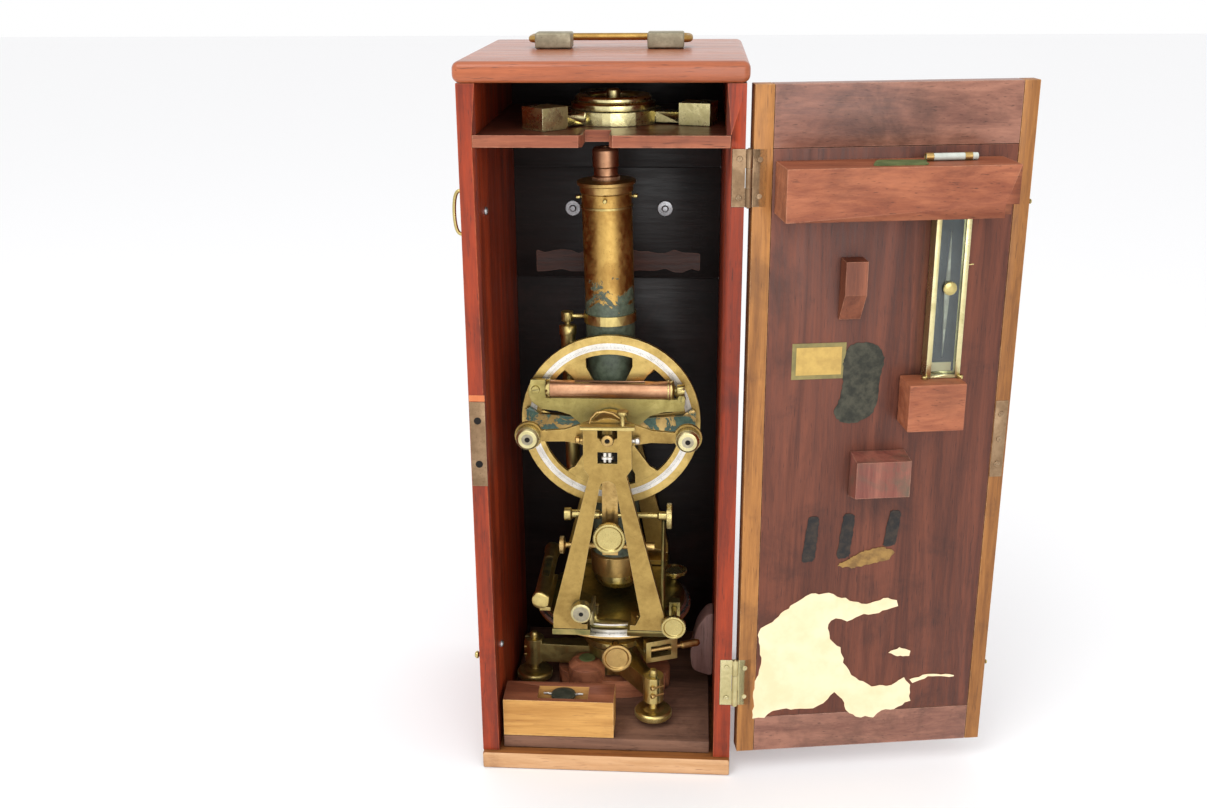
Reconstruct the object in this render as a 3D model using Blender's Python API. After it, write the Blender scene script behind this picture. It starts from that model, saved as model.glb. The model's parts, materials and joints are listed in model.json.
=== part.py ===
"""A transit theodolite standing in its open mahogany carrying case.

Sizes are in millimetres and are scaled to metres when a mesh is made.  +X runs to the right along the
case's front, +Y into the case and +Z up.  The origin is the centre of the case's underside.
"""
import math

import bmesh
import bpy
from mathutils import Matrix, Vector

MM = 0.001
GAP = 0.3                       # clearance between neighbours that touch
TAU = math.tau

# --- case ---
CASE_WIDTH = 190.0
CASE_DEPTH = 193.4
WALL = 12.5
BASE_HEIGHT = 13.4
BASE_LIP = 3.8                  # how far base and lid stand in front of the walls
SIDE_TOP = 519.0
LID_THICKNESS = 14.0
LID_OVERHANG = 2.0
SHELF_TOP = 485.5
SHELF_THICKNESS = 8.0
DADO_DEPTH = 2.7
NOTCH_WIDTH = 18.0
NOTCH_DEPTH = 28.0
NOTCH_FLARE = 3.0

# --- carrying handle ---
HANDLE_SPAN = 84.0
POST_WIDTH = 26.0
POST_DEPTH = 20.0
POST_HEIGHT = 11.0
BAIL_RADIUS = 2.6
BAIL_REACH = 24.0
HANDLE_SETBACK = 6.0            # bail axis behind the case's middle
POST_INSET = 2.0                # a post's centre inside the handle's half span
BAIL_PAST_POST = 1.6            # bail's side bar outside a post

# --- door ---
DOOR_THICKNESS = 12.5
DOOR_BOTTOM = 19.0
DOOR_TOP_GAP = 0.6
DOOR_PAST_STRAIGHT = 9.04       # degrees that the open door leans past the front plane
HINGE_HEIGHT = 38.1
HINGE_LEAF_WIDTH = 9.4
HINGE_LEAF_THICKNESS = 1.5
HINGE_UPPER_CENTRE = 457.8
HINGE_LOWER_CENTRE = 79.0
PIN_OFFSET = 2.66               # pin axis outside the case's side
KNUCKLE_RADIUS = 2.2
PIN_RADIUS = 1.0
PIN_PROUD = 0.8                 # pin past the leaf's ends

# --- blocks on the door's inner face: distance from the hinged edge, height, depth ---
TOOL_RAIL = (15.0, 168.0, 434.5, 469.0, 36.0)
WEDGE_BLOCK = (62.0, 77.0, 360.0, 403.0, 15.0)
COMPASS_BLOCK = (108.0, 148.0, 284.0, 318.0, 25.0)
PAD_BLOCK = (76.0, 115.0, 228.0, 262.0, 18.6)

# --- trough compass ---
TROUGH_WIDTH = 24.0
TROUGH_DEPTH = 11.0
TROUGH_WALL = 2.2
TROUGH_CENTRE = 135.0           # distance from the door's hinged edge
NEEDLE_LENGTH = 88.0
NEEDLE_WIDTH = 3.6
NEEDLE_THICKNESS = 1.0
NEEDLE_POST_RADIUS = 1.0
NEEDLE_POST_LENGTH = 3.0
GLASS_SETBACK = 0.6             # glass below the trough's rim
GLASS_THICKNESS = 1.6
LIFTER_RADIUS = 4.4
LIFTER_THICKNESS = 3.0
LIFTER_RISE = 6.0               # lifter screw above the needle's post

# --- instrument board ---
BOARD_WIDTH = 159.0
BOARD_THICKNESS = 10.0
BOARD_FRONT_SETBACK = 4.7
BOARD_BACK_GAP = 0.7
BOX_WIDTH = 85.0
BOX_DEPTH = 28.0
BOX_HEIGHT = 31.0
BOX_WALL = 6.0
BOX_SIDE_GAP = 0.3              # box inside the board's left edge
BOX_WELL_MARGINS = (26.0, 20.0)  # solid wood left and right of the well
SEAT_HALF_WIDTH = 46.0
SEAT_HALF_DEPTH = 27.0
SEAT_HEIGHT = 15.5
CHOCK_RADIUS = 15.0
CHOCK_TOP = 56.0
CHOCK_FROM_AXIS = (-21.0, -19.0)

# --- levelling base ---
AXIS_X = 1.5
AXIS_Y = -6.5
FOOT_CIRCLE = 66.0
FIRST_FOOT_ANGLE = -59.0
FOOT_DISC_RADIUS = 14.3
FOOT_DISC_THICKNESS = 6.5
FOOT_POINT = 4.0
FOOT_SPINDLE_RADIUS = 3.4
TRIBRACH_BOTTOM = 42.0
TRIBRACH_TOP = 64.0
HUB_RADIUS = 22.0
ARM_WIDTH = 12.0
ARM_HEIGHT = 16.0
BOSS_RADIUS = 8.0
LIMB_RADIUS = 62.0
LIMB_THICKNESS = 7.0
LIMB_TOP = 103.0
LIMB_SPINDLE = 9.0
LIMB_NECK = 20.0                # radius that the tangent frame's collar goes round
LOWER_CLAMP_HEIGHT = 71.0
LOWER_CLAMP_ANGLE = -84.0
LOWER_CLAMP_START = 21.0        # screw's inner end from the azimuth axis
LOWER_CLAMP_REACH = 46.0        # wheel's outer face from the azimuth axis
LOWER_CLAMP_RADIUS = 11.5
LOWER_FRAME = (66.0, 84.0)      # heights of the tangent frame
LOWER_TANGENT_ANGLE = 22.0
LOWER_TANGENT_OFFSET = 46.5     # tangent screw in front of the azimuth axis
LOWER_TANGENT_HEIGHT = 75.0
LOWER_TANGENT_SHANK = 1.9

# --- upper works ---
SHANK_RADIUS = 2.2              # shanks of the clamp and tangent screws
VERNIER_SPINDLE = 7.0
VERNIER_SPINDLE_DEPTH = 22.0
UPPER_TANGENT_X = 49.5          # screws' places from the azimuth axis
UPPER_CLAMP_X = 48.5
UPPER_CLAMP_Y = 24.5
HEAD_WINDOW = 7.3               # half width of the openings in a standard's head
ARCH_RADIUS = 6.2
VERNIER_RADIUS = 57.0
VERNIER_THICKNESS = 5.4
STANDARD_OFFSET = 61.0          # azimuth axis to a standard's inner face
STANDARD_THICKNESS = 7.0
TRUNNION_HEIGHT = 263.0
HEAD_WIDTH = 35.5
HEAD_HEIGHT = 30.0
NECK_WIDTH = 27.5
LEG_SPREAD = 84.5
LEG_WIDTH = 18.0
FOOT_FLANGE = 3.6
FLANGE_REACH = 22.0
TRUNNION_END_RADIUS = 4.4
TRUNNION_RADIUS = 8.0
LEVEL_X = -52.5
LENS_PIN = 1.3
TANGENT_RISE = 6.0              # upper tangent screw above the plate
LEVEL_HEIGHT = 129.0

# --- vertical circle and index frame ---
CIRCLE_RADIUS = 67.5
CIRCLE_INNER = 53.0
CIRCLE_THICKNESS = 4.0
CIRCLE_OFFSET = 23.0            # azimuth axis to the circle's back face
CIRCLE_HUB = 15.0
SPOKES = 6
FRAME_THICKNESS = 3.0
BRACKET_THICKNESS = 3.4
BRACKET_TOP = 284.0
INDEX_LEVEL_RADIUS = 7.1
INDEX_LEVEL_LENGTH = 96.0
MAGNIFIER_REACH = 58.4
MAGNIFIER_RADIUS = 8.4
MAGNIFIER_LENGTH = 23.0
LENS_BARREL = 6.4               # radius that slides in the bar's ring
INDEX_CLEARANCE = 1.4           # index frame in front of the circle
ARM_CLEARANCE = 1.0             # magnifier bar behind the front standard
CLAMP_SETBACK = 5.5             # clamp arm's middle in front of the level bracket
CLAMP_HALF = 3.0                # half the clamp arm's thickness
TANGENT_HEIGHT = 192.5
CLAMP_HEIGHT = 179.5
CLIP_HEIGHT = 166.5
CLAMP_SHANK = 2.4

# --- telescope ---
TELESCOPE_LEAN = -1.3           # degrees; the eye end leans to the left
TUBE_RADIUS = 18.5
TUBE_WALL = 1.6
TUBE_TOP = 438.0
COLLAR_RADIUS = 21.5
DRUM_RADIUS = 20.9
DRUM_BOTTOM = 129.0
DRUM_HEIGHT = 16.0
CAP_BOTTOM = 115.5
CAP_RADIUS = 19.0
EYEPIECE_RADIUS = 10.0
EYEPIECE_LENGTH = 25.0
CENTRE_RADIUS = 22.0
SIDE_LEVEL_OFFSET = 32.5
SIDE_LEVEL_RADIUS = 6.6
SIDE_LEVEL_HALF = 68.0

# --- tripod plate kept on the shelf ---
TRIPOD_X = 4.0
TRIPOD_Y = -22.0
TRIPOD_RADIUS = 34.0
TRIPOD_REACH = 62.0
LUG_SIZE = 22.0
LUG_HEIGHT = 15.0
TRIPOD_THICKNESS = 9.0
TRIPOD_BORE = 15.0
TRIPOD_FIRST_ARM = 225.0
TRIPOD_RING_RADIUS = 30.0
TRIPOD_RING_BORE = 16.0

# --- values that follow ---
FRONT = -CASE_DEPTH / 2
BACK_FACE = CASE_DEPTH / 2 - WALL
INNER_HALF = CASE_WIDTH / 2 - WALL
BOARD_BOTTOM = BASE_HEIGHT + GAP
BOARD_TOP = BOARD_BOTTOM + BOARD_THICKNESS
BOARD_FRONT = FRONT + BOARD_FRONT_SETBACK
SEAT_TOP = BOARD_TOP + GAP + SEAT_HEIGHT
PIN_X = CASE_WIDTH / 2 + PIN_OFFSET
PIN_Y = FRONT - GAP / 2
DOOR_INNER = -GAP / 2           # back of the blocks, against the open door's inner face
POST_CENTRE = HANDLE_SPAN / 2 - POST_INSET
PLATE_TOP = LIMB_TOP + GAP + VERNIER_THICKNESS
LENS_PIVOT = (AXIS_X - 12.4, AXIS_Y - 49.0)
CIRCLE_FRONT = AXIS_Y - CIRCLE_OFFSET - CIRCLE_THICKNESS
FRAME_BACK = CIRCLE_FRONT - INDEX_CLEARANCE
FRAME_FRONT = FRAME_BACK - FRAME_THICKNESS
BRACKET_BACK = FRAME_FRONT - GAP
BRACKET_FRONT = BRACKET_BACK - BRACKET_THICKNESS
STANDARD_FACE = AXIS_Y - STANDARD_OFFSET
ARM_PLANE = STANDARD_FACE + ARM_CLEARANCE + FRAME_THICKNESS
CLAMP_Y = BRACKET_FRONT - CLAMP_SETBACK
TANGENT_Z = PLATE_TOP + TANGENT_RISE

WOOD_RED = ("mahogany_red", (0.20, 0.045, 0.022), 0.42, 0.0)
WOOD_DARK = ("mahogany_dark", (0.075, 0.024, 0.016), 0.5, 0.0)
WOOD_PALE = ("box_wood", (0.52, 0.30, 0.12), 0.55, 0.0)
BRASS = ("aged_brass", (0.42, 0.27, 0.09), 0.38, 1.0)
BRASS_PALE = ("rubbed_brass", (0.50, 0.40, 0.20), 0.32, 1.0)
GREEN = ("green_enamel", (0.045, 0.11, 0.075), 0.45, 0.0)
COPPER = ("copper_lacquer", (0.36, 0.15, 0.08), 0.35, 1.0)
SILVER = ("silver_white", (0.62, 0.60, 0.55), 0.3, 1.0)
GLASS = ("clear_glass", (0.85, 0.9, 0.9), 0.05, 0.0)


# ---------------------------------------------------------------- solids
def slab(x, y, z):
    """Box from three (low, high) pairs."""
    bm = bmesh.new()
    bmesh.ops.create_cube(bm, size=1.0)
    size = Matrix.Diagonal((x[1] - x[0], y[1] - y[0], z[1] - z[0], 1.0))
    centre = Vector(((x[0] + x[1]) / 2, (y[0] + y[1]) / 2, (z[0] + z[1]) / 2))
    bmesh.ops.transform(bm, matrix=Matrix.Translation(centre) @ size, verts=bm.verts)
    return bm


def turned(profile, steps=24, axis="Z", at=(0.0, 0.0, 0.0)):
    """Lathe a closed (radius, height) profile; a radius of 0 closes the solid on its axis."""
    bm = bmesh.new()
    rings = []
    for radius, height in profile:
        count = 1 if radius < 1e-6 else steps
        angles = [TAU * i / steps for i in range(count)]
        rings.append([bm.verts.new((radius * math.cos(a), radius * math.sin(a), height)) for a in angles])
    hollow = profile[0][0] > 1e-6
    pairs = list(zip(rings, rings[1:] + rings[:1])) if hollow else list(zip(rings, rings[1:]))
    for low, high in pairs:
        for i in range(steps):
            j = (i + 1) % steps
            corners = [low[i % len(low)], low[j % len(low)], high[j % len(high)], high[i % len(high)]]
            distinct = list(dict.fromkeys(corners))
            if len(distinct) > 2:
                bm.faces.new(distinct)
    turns = {
        "Z": Matrix.Identity(4),
        "Y": Matrix.Rotation(math.radians(90), 4, "X"),
        "X": Matrix.Rotation(math.radians(90), 4, "Y"),
    }
    bmesh.ops.transform(bm, matrix=Matrix.Translation(at) @ turns[axis], verts=bm.verts)
    bmesh.ops.recalc_face_normals(bm, faces=bm.faces)
    return bm


def rod(radius, start, end, steps=18):
    """Cylinder between two points."""
    start, end = Vector(start), Vector(end)
    bm = bmesh.new()
    bmesh.ops.create_cone(bm, cap_ends=True, segments=steps, radius1=radius, radius2=radius,
                          depth=(end - start).length)
    turn = Vector((0, 0, 1)).rotation_difference(end - start).to_matrix().to_4x4()
    bmesh.ops.transform(bm, matrix=Matrix.Translation((start + end) / 2) @ turn, verts=bm.verts)
    return bm


def plate_xz(outline, y):
    """Extrude an outline of (x, z) points between two y values."""
    return extruded([(x, y[0], z) for x, z in outline], (0, y[1] - y[0], 0))


def plate_xy(outline, z):
    """Extrude an outline of (x, y) points between two heights."""
    return extruded([(x, y, z[0]) for x, y in outline], (0, 0, z[1] - z[0]))


def extruded(points, offset):
    """Prism from a flat outline swept along an offset."""
    bm = bmesh.new()
    face = bm.faces.new([bm.verts.new(p) for p in points])
    lifted = bmesh.ops.extrude_face_region(bm, geom=[face])["geom"]
    corners = [item for item in lifted if isinstance(item, bmesh.types.BMVert)]
    bmesh.ops.translate(bm, vec=offset, verts=corners)
    bmesh.ops.recalc_face_normals(bm, faces=bm.faces)
    return bm


def arc(centre, radius, start, end, steps):
    """Points along an arc, angles in degrees."""
    points = []
    for i in range(steps + 1):
        angle = math.radians(start + (end - start) * i / steps)
        points.append((centre[0] + radius * math.cos(angle), centre[1] + radius * math.sin(angle)))
    return points


def moved(bm, matrix):
    """Turn or shift a solid in place and hand it back."""
    bmesh.ops.transform(bm, matrix=matrix, verts=bm.verts)
    return bm


def scratch_object(bm):
    mesh = bpy.data.meshes.new("scratch")
    bm.to_mesh(mesh)
    obj = bpy.data.objects.new("scratch", mesh)
    bpy.context.scene.collection.objects.link(obj)
    return obj


def boolean(base, tools, operation):
    """Join tools to base (UNION) or take them out of it (DIFFERENCE)."""
    target = scratch_object(base)
    helpers = [scratch_object(tool) for tool in tools]
    for helper in helpers:
        step = target.modifiers.new(operation, "BOOLEAN")
        step.operation = operation
        step.object = helper
        step.solver = "EXACT"
    bpy.context.view_layer.update()
    evaluated = target.evaluated_get(bpy.context.evaluated_depsgraph_get())
    mesh = bpy.data.meshes.new_from_object(evaluated)
    result = bmesh.new()
    result.from_mesh(mesh)
    for obj in [target] + helpers:
        bpy.data.objects.remove(obj)
    bmesh.ops.remove_doubles(result, verts=result.verts, dist=0.002)
    bmesh.ops.dissolve_degenerate(result, edges=result.edges, dist=0.002)
    return result


def fuse(*solids):
    return boolean(solids[0], solids[1:], "UNION")


def cut(base, *tools):
    return boolean(base, tools, "DIFFERENCE")


# ---------------------------------------------------------------- objects
def material(spec):
    name, colour, roughness, metallic = spec
    found = bpy.data.materials.get(name)
    if found:
        return found
    made = bpy.data.materials.new(name)
    made.use_nodes = True
    shader = made.node_tree.nodes["Principled BSDF"]
    shader.inputs["Base Color"].default_value = (*colour, 1.0)
    shader.inputs["Roughness"].default_value = roughness
    shader.inputs["Metallic"].default_value = metallic
    return made


def add_part(name, bm, finish, origin=(0.0, 0.0, 0.0), parent=None, edge=0.0):
    """Make the named object; origin is where its own axes sit, in the frame its solid was drawn in."""
    bmesh.ops.transform(bm, matrix=Matrix.Scale(MM, 4) @ Matrix.Translation(-Vector(origin)),
                        verts=bm.verts)
    mesh = bpy.data.meshes.new(name)
    bm.to_mesh(mesh)
    bm.free()
    mesh.materials.append(material(finish))
    mesh.shade_smooth()
    mesh.set_sharp_from_angle(angle=math.radians(32))
    obj = bpy.data.objects.new(name, mesh)
    bpy.context.scene.collection.objects.link(obj)
    obj.location = Vector(origin) * MM
    obj.parent = parent
    if edge:
        soft = obj.modifiers.new("edge", "BEVEL")
        soft.width = edge * MM
        soft.segments = 2
        soft.limit_method = "ANGLE"
    return obj


def pivot(name, at, axis, degrees):
    """Empty on a joint's axis, turned to the pose in which the object stands."""
    empty = bpy.data.objects.new(name, None)
    bpy.context.scene.collection.objects.link(empty)
    empty.location = Vector(at) * MM
    empty.rotation_euler = Matrix.Rotation(math.radians(degrees), 3, axis).to_euler()
    return empty


# ---------------------------------------------------------------- case
def build_base():
    half = CASE_WIDTH / 2
    add_part("case_base", slab((-half, half), (FRONT - BASE_LIP, -FRONT), (0, BASE_HEIGHT)), WOOD_RED,
             edge=1.2)


def build_sides():
    half = CASE_WIDTH / 2
    bottom = BASE_HEIGHT + GAP
    dado_z = (SHELF_TOP - SHELF_THICKNESS - GAP, SHELF_TOP + GAP)
    reach = INNER_HALF + DADO_DEPTH + GAP
    groove = slab((-reach, reach), (FRONT - 1, BACK_FACE), dado_z)
    left = slab((-half, -INNER_HALF), (FRONT, -FRONT), (bottom, SIDE_TOP))
    add_part("case_left_side", cut(left, groove.copy()), WOOD_RED)
    mortises = []
    for centre in (HINGE_UPPER_CENTRE, HINGE_LOWER_CENTRE):
        mortises.append(slab((half - HINGE_LEAF_WIDTH - GAP + 1.0, half + 1),
                             (FRONT - 1, FRONT + HINGE_LEAF_THICKNESS + GAP),
                             (centre - HINGE_HEIGHT / 2 - GAP, centre + HINGE_HEIGHT / 2 + GAP)))
    right = slab((INNER_HALF, half), (FRONT, -FRONT), (bottom, SIDE_TOP))
    add_part("case_right_side", cut(right, groove, *mortises), WOOD_RED)


def build_back():
    inner = INNER_HALF - GAP
    add_part("case_back", slab((-inner, inner), (BACK_FACE, -FRONT), (BASE_HEIGHT + GAP, SIDE_TOP)),
             WOOD_DARK)


def build_lid():
    half = CASE_WIDTH / 2 + LID_OVERHANG
    low = SIDE_TOP + GAP
    add_part("case_lid",
             slab((-half, half), (FRONT - BASE_LIP, -FRONT + LID_OVERHANG), (low, low + LID_THICKNESS)),
             WOOD_RED, edge=3.2)


def build_shelf():
    half = INNER_HALF + DADO_DEPTH
    z = (SHELF_TOP - SHELF_THICKNESS, SHELF_TOP)
    board = slab((-half, half), (FRONT, BACK_FACE - GAP), z)
    notch_half = NOTCH_WIDTH / 2
    eye_x = AXIS_X + (SHELF_TOP - TRUNNION_HEIGHT) * math.tan(math.radians(TELESCOPE_LEAN))
    outline = [(eye_x - notch_half - NOTCH_FLARE, FRONT - 1), (eye_x + notch_half + NOTCH_FLARE, FRONT - 1),
               (eye_x + notch_half, FRONT + NOTCH_FLARE), (eye_x + notch_half, FRONT + NOTCH_DEPTH),
               (eye_x - notch_half, FRONT + NOTCH_DEPTH), (eye_x - notch_half, FRONT + NOTCH_FLARE)]
    add_part("upper_shelf", cut(board, plate_xy(outline, (z[0] - 1, z[1] + 1))), WOOD_RED)


def build_handle():
    top = SIDE_TOP + GAP + LID_THICKNESS
    axis_z = top + GAP + POST_HEIGHT * 0.55
    for side, name in ((-1, "handle_post_left"), (1, "handle_post_right")):
        centre = side * POST_CENTRE
        post = slab((centre - POST_WIDTH / 2, centre + POST_WIDTH / 2),
                    (HANDLE_SETBACK - POST_DEPTH / 2, HANDLE_SETBACK + POST_DEPTH / 2),
                    (top + GAP, top + GAP + POST_HEIGHT))
        bore = rod(BAIL_RADIUS + GAP, (centre - POST_WIDTH, HANDLE_SETBACK, axis_z),
                   (centre + POST_WIDTH, HANDLE_SETBACK, axis_z))
        add_part(name, cut(post, bore), BRASS_PALE)
    reach_x = HANDLE_SPAN / 2 + POST_WIDTH / 2 + BAIL_PAST_POST
    back = HANDLE_SETBACK + BAIL_REACH
    bars = []
    for side in (-1, 1):
        start = side * (POST_CENTRE - POST_WIDTH / 2 + POST_INSET)
        bars.append(rod(BAIL_RADIUS, (start, HANDLE_SETBACK, axis_z),
                        (side * (reach_x + BAIL_RADIUS), HANDLE_SETBACK, axis_z)))
        bars.append(rod(BAIL_RADIUS, (side * reach_x, HANDLE_SETBACK, axis_z),
                        (side * reach_x, back, axis_z)))
    bars.append(rod(BAIL_RADIUS, (-reach_x - BAIL_RADIUS, back, axis_z),
                    (reach_x + BAIL_RADIUS, back, axis_z)))
    add_part("carry_handle", fuse(*bars), BRASS, origin=(0, HANDLE_SETBACK, axis_z))


def hinge_leaf(x, y, z, knuckles, pin):
    """Leaf plate with its knuckles round the pin axis at x = y = 0."""
    solids = [slab(x, y, z)] + [rod(KNUCKLE_RADIUS, (0, 0, low), (0, 0, high)) for low, high in knuckles]
    leaf = fuse(*solids)
    if pin:
        return fuse(leaf, rod(PIN_RADIUS, (0, 0, z[0] - PIN_PROUD), (0, 0, z[1] + PIN_PROUD), 16))
    return cut(leaf, rod(PIN_RADIUS + GAP, (0, 0, z[0] - 1), (0, 0, z[1] + 1), 16))


def build_hinges(door_axis):
    third = HINGE_HEIGHT / 3
    for level, centre in (("upper", HINGE_UPPER_CENTRE), ("lower", HINGE_LOWER_CENTRE)):
        low, high = centre - HINGE_HEIGHT / 2, centre + HINGE_HEIGHT / 2
        outer = [(low, low + third - GAP), (high - third + GAP, high)]
        face = GAP / 2
        case_leaf = hinge_leaf((-HINGE_LEAF_WIDTH - PIN_OFFSET + 1.0, 0),
                               (face, face + HINGE_LEAF_THICKNESS), (low, high), outer, True)
        keep_clear = slab((-KNUCKLE_RADIUS - GAP, KNUCKLE_RADIUS + 1), (-4, 4),
                          (low + third - GAP, high - third + GAP))
        case_leaf = fuse(cut(case_leaf, keep_clear), rod(PIN_RADIUS, (0, 0, low + 1), (0, 0, high - 1), 16))
        add_part("hinge_case_leaf_" + level, moved(case_leaf, Matrix.Translation((PIN_X, PIN_Y, 0))), BRASS,
                 origin=(PIN_X, PIN_Y, centre))
        middle = [(low + third, high - third)]
        leaf = hinge_leaf((0, PIN_OFFSET + HINGE_LEAF_WIDTH), (face, face + HINGE_LEAF_THICKNESS),
                          (low, high), middle, False)
        around = [slab((-KNUCKLE_RADIUS - 1, KNUCKLE_RADIUS + GAP), (-4, 4), (low - 1, low + third)),
                  slab((-KNUCKLE_RADIUS - 1, KNUCKLE_RADIUS + GAP), (-4, 4), (high - third, high + 1))]
        add_part("hinge_door_leaf_" + level, cut(leaf, *around), BRASS, parent=door_axis,
                 origin=(0, 0, centre))


# ---------------------------------------------------------------- door, drawn open round its pin
def door_span(block):
    """x range of a block on the door, from its distances from the hinged edge."""
    return (PIN_OFFSET + block[0], PIN_OFFSET + block[1])


def on_door(depth):
    """y range of a block on the door's inner face."""
    return (-depth, DOOR_INNER)


def build_door(axis):
    panel = slab((PIN_OFFSET, PIN_OFFSET + CASE_WIDTH), (GAP / 2, GAP / 2 + DOOR_THICKNESS),
                 (DOOR_BOTTOM, SIDE_TOP - DOOR_TOP_GAP))
    mortises = []
    for centre in (HINGE_UPPER_CENTRE, HINGE_LOWER_CENTRE):
        mortises.append(slab((0, PIN_OFFSET + HINGE_LEAF_WIDTH + GAP),
                             (-1, GAP / 2 + HINGE_LEAF_THICKNESS + GAP),
                             (centre - HINGE_HEIGHT / 2 - GAP, centre + HINGE_HEIGHT / 2 + GAP)))
    add_part("door_panel", cut(panel, *mortises), WOOD_RED, parent=axis)


def build_door_blocks(axis):
    x = door_span(TOOL_RAIL)
    y = on_door(TOOL_RAIL[4])
    z = TOOL_RAIL[2:4]
    rail = cut(slab(x, y, z), slab((x[1] - 9, x[1] + 1), (y[0] - 1, y[0] + 12), (z[0] - 1, z[0] + 9)))
    add_part("tool_rail", rail, WOOD_RED, parent=axis)
    x = door_span(WEDGE_BLOCK)
    low, high = WEDGE_BLOCK[2:4]
    side = [(DOOR_INNER, low), (DOOR_INNER, high), (-WEDGE_BLOCK[4], high), (-WEDGE_BLOCK[4], low + 20),
            (-2.0, low)]
    add_part("wedge_block", extruded([(x[0], y, z) for y, z in side], (x[1] - x[0], 0, 0)), WOOD_DARK,
             parent=axis)
    rest = slab(door_span(COMPASS_BLOCK), on_door(COMPASS_BLOCK[4]), COMPASS_BLOCK[2:4])
    add_part("compass_block", rest, WOOD_RED, parent=axis, edge=0.8)
    x = door_span(PAD_BLOCK)
    low, high = PAD_BLOCK[2:4]
    side = [(DOOR_INNER, low), (DOOR_INNER, high), (-PAD_BLOCK[4], high - 2), (-PAD_BLOCK[4], low + 5)]
    add_part("pad_block", extruded([(x[0], y, z) for y, z in side], (x[1] - x[0], 0, 0)), WOOD_RED,
             parent=axis)


def build_compass(axis):
    low = COMPASS_BLOCK[3] + GAP
    high = TOOL_RAIL[2] - GAP
    middle = (low + high) / 2
    centre = PIN_OFFSET + TROUGH_CENTRE
    half = TROUGH_WIDTH / 2
    face = DOOR_INNER
    front = face - TROUGH_DEPTH
    floor = face - TROUGH_WALL
    post_end = floor - NEEDLE_POST_LENGTH
    body = slab((centre - half, centre + half), (front, face), (low, high))
    hollow = slab((centre - half + TROUGH_WALL, centre + half - TROUGH_WALL),
                  (front - 1, face - TROUGH_WALL), (low + TROUGH_WALL, high - TROUGH_WALL))
    pivot_pin = rod(NEEDLE_POST_RADIUS, (centre, floor + 0.5, middle), (centre, post_end, middle), 12)
    add_part("compass_trough", fuse(cut(body, hollow), pivot_pin), BRASS_PALE, parent=axis)
    inset = TROUGH_WALL + GAP
    glass_front = front + GLASS_SETBACK
    add_part("compass_glass",
             slab((centre - half + inset, centre + half - inset),
                  (glass_front, glass_front + GLASS_THICKNESS), (low + inset, high - inset)),
             GLASS, parent=axis)
    needle_y = (post_end - GAP - NEEDLE_THICKNESS, post_end - GAP)
    tip = NEEDLE_LENGTH / 2
    outline = [(centre - NEEDLE_WIDTH / 2, middle), (centre, middle - tip),
               (centre + NEEDLE_WIDTH / 2, middle), (centre, middle + tip)]
    add_part("compass_needle", plate_xz(outline, needle_y), SILVER, parent=axis,
             origin=(centre, needle_y[0], middle))
    lifter = turned([(0, 0), (LIFTER_RADIUS, 0), (LIFTER_RADIUS, LIFTER_THICKNESS - 0.8),
                     (LIFTER_RADIUS - 2.4, LIFTER_THICKNESS), (0, LIFTER_THICKNESS)],
                    20, "Y", (centre, glass_front - GAP, middle + LIFTER_RISE))
    add_part("compass_knob", lifter, BRASS, parent=axis, origin=(centre, front, middle + LIFTER_RISE))


# ---------------------------------------------------------------- board and levelling base
def foot_angle(index):
    return math.radians(FIRST_FOOT_ANGLE + 120 * index)


def foot_place(index, radius=FOOT_CIRCLE):
    return (AXIS_X + radius * math.cos(foot_angle(index)), AXIS_Y + radius * math.sin(foot_angle(index)))


def tribrach_arm(index, width, low, high, reach=FOOT_CIRCLE):
    """Tapered arm from the hub to a foot screw."""
    turn = Matrix.Translation((AXIS_X, AXIS_Y, 0)) @ Matrix.Rotation(foot_angle(index), 4, "Z")
    outline = [(5, -width / 2 - 2.5), (reach, -width / 2 + 1.5), (reach, width / 2 - 1.5),
               (5, width / 2 + 2.5)]
    return moved(plate_xy(outline, (low, high)), turn)


def build_board():
    half = BOARD_WIDTH / 2
    board = slab((-half, half), (BOARD_FRONT, BACK_FACE - BOARD_BACK_GAP), (BOARD_BOTTOM, BOARD_TOP))
    add_part("instrument_board", board, WOOD_DARK, edge=0.8)


def build_seat():
    low = BOARD_TOP + GAP
    oval = turned([(0, low), (1, low), (1, SEAT_TOP), (0, SEAT_TOP)], 30)
    oval = moved(oval,
                 Matrix.Translation((AXIS_X, AXIS_Y, 0)) @ Matrix.Diagonal((SEAT_HALF_WIDTH,
                                                                            SEAT_HALF_DEPTH, 1, 1)))
    chock = turned([(0, low), (CHOCK_RADIUS, low), (CHOCK_RADIUS, CHOCK_TOP - 5),
                    (CHOCK_RADIUS - 5, CHOCK_TOP), (0, CHOCK_TOP)], 28,
                   at=(AXIS_X + CHOCK_FROM_AXIS[0], AXIS_Y + CHOCK_FROM_AXIS[1], 0))
    clearances = [tribrach_arm(2, ARM_WIDTH + 2 * GAP + 1.0, TRIBRACH_BOTTOM - 1, CHOCK_TOP + 2),
                  tribrach_arm(0, ARM_WIDTH + 2 * GAP + 1.0, TRIBRACH_BOTTOM - 1, CHOCK_TOP + 2),
                  rod(HUB_RADIUS + 0.6, (AXIS_X, AXIS_Y, TRIBRACH_BOTTOM - 1),
                      (AXIS_X, AXIS_Y, CHOCK_TOP + 2), 30)]
    add_part("seat_block", cut(fuse(oval, chock), *clearances), WOOD_DARK)


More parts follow.
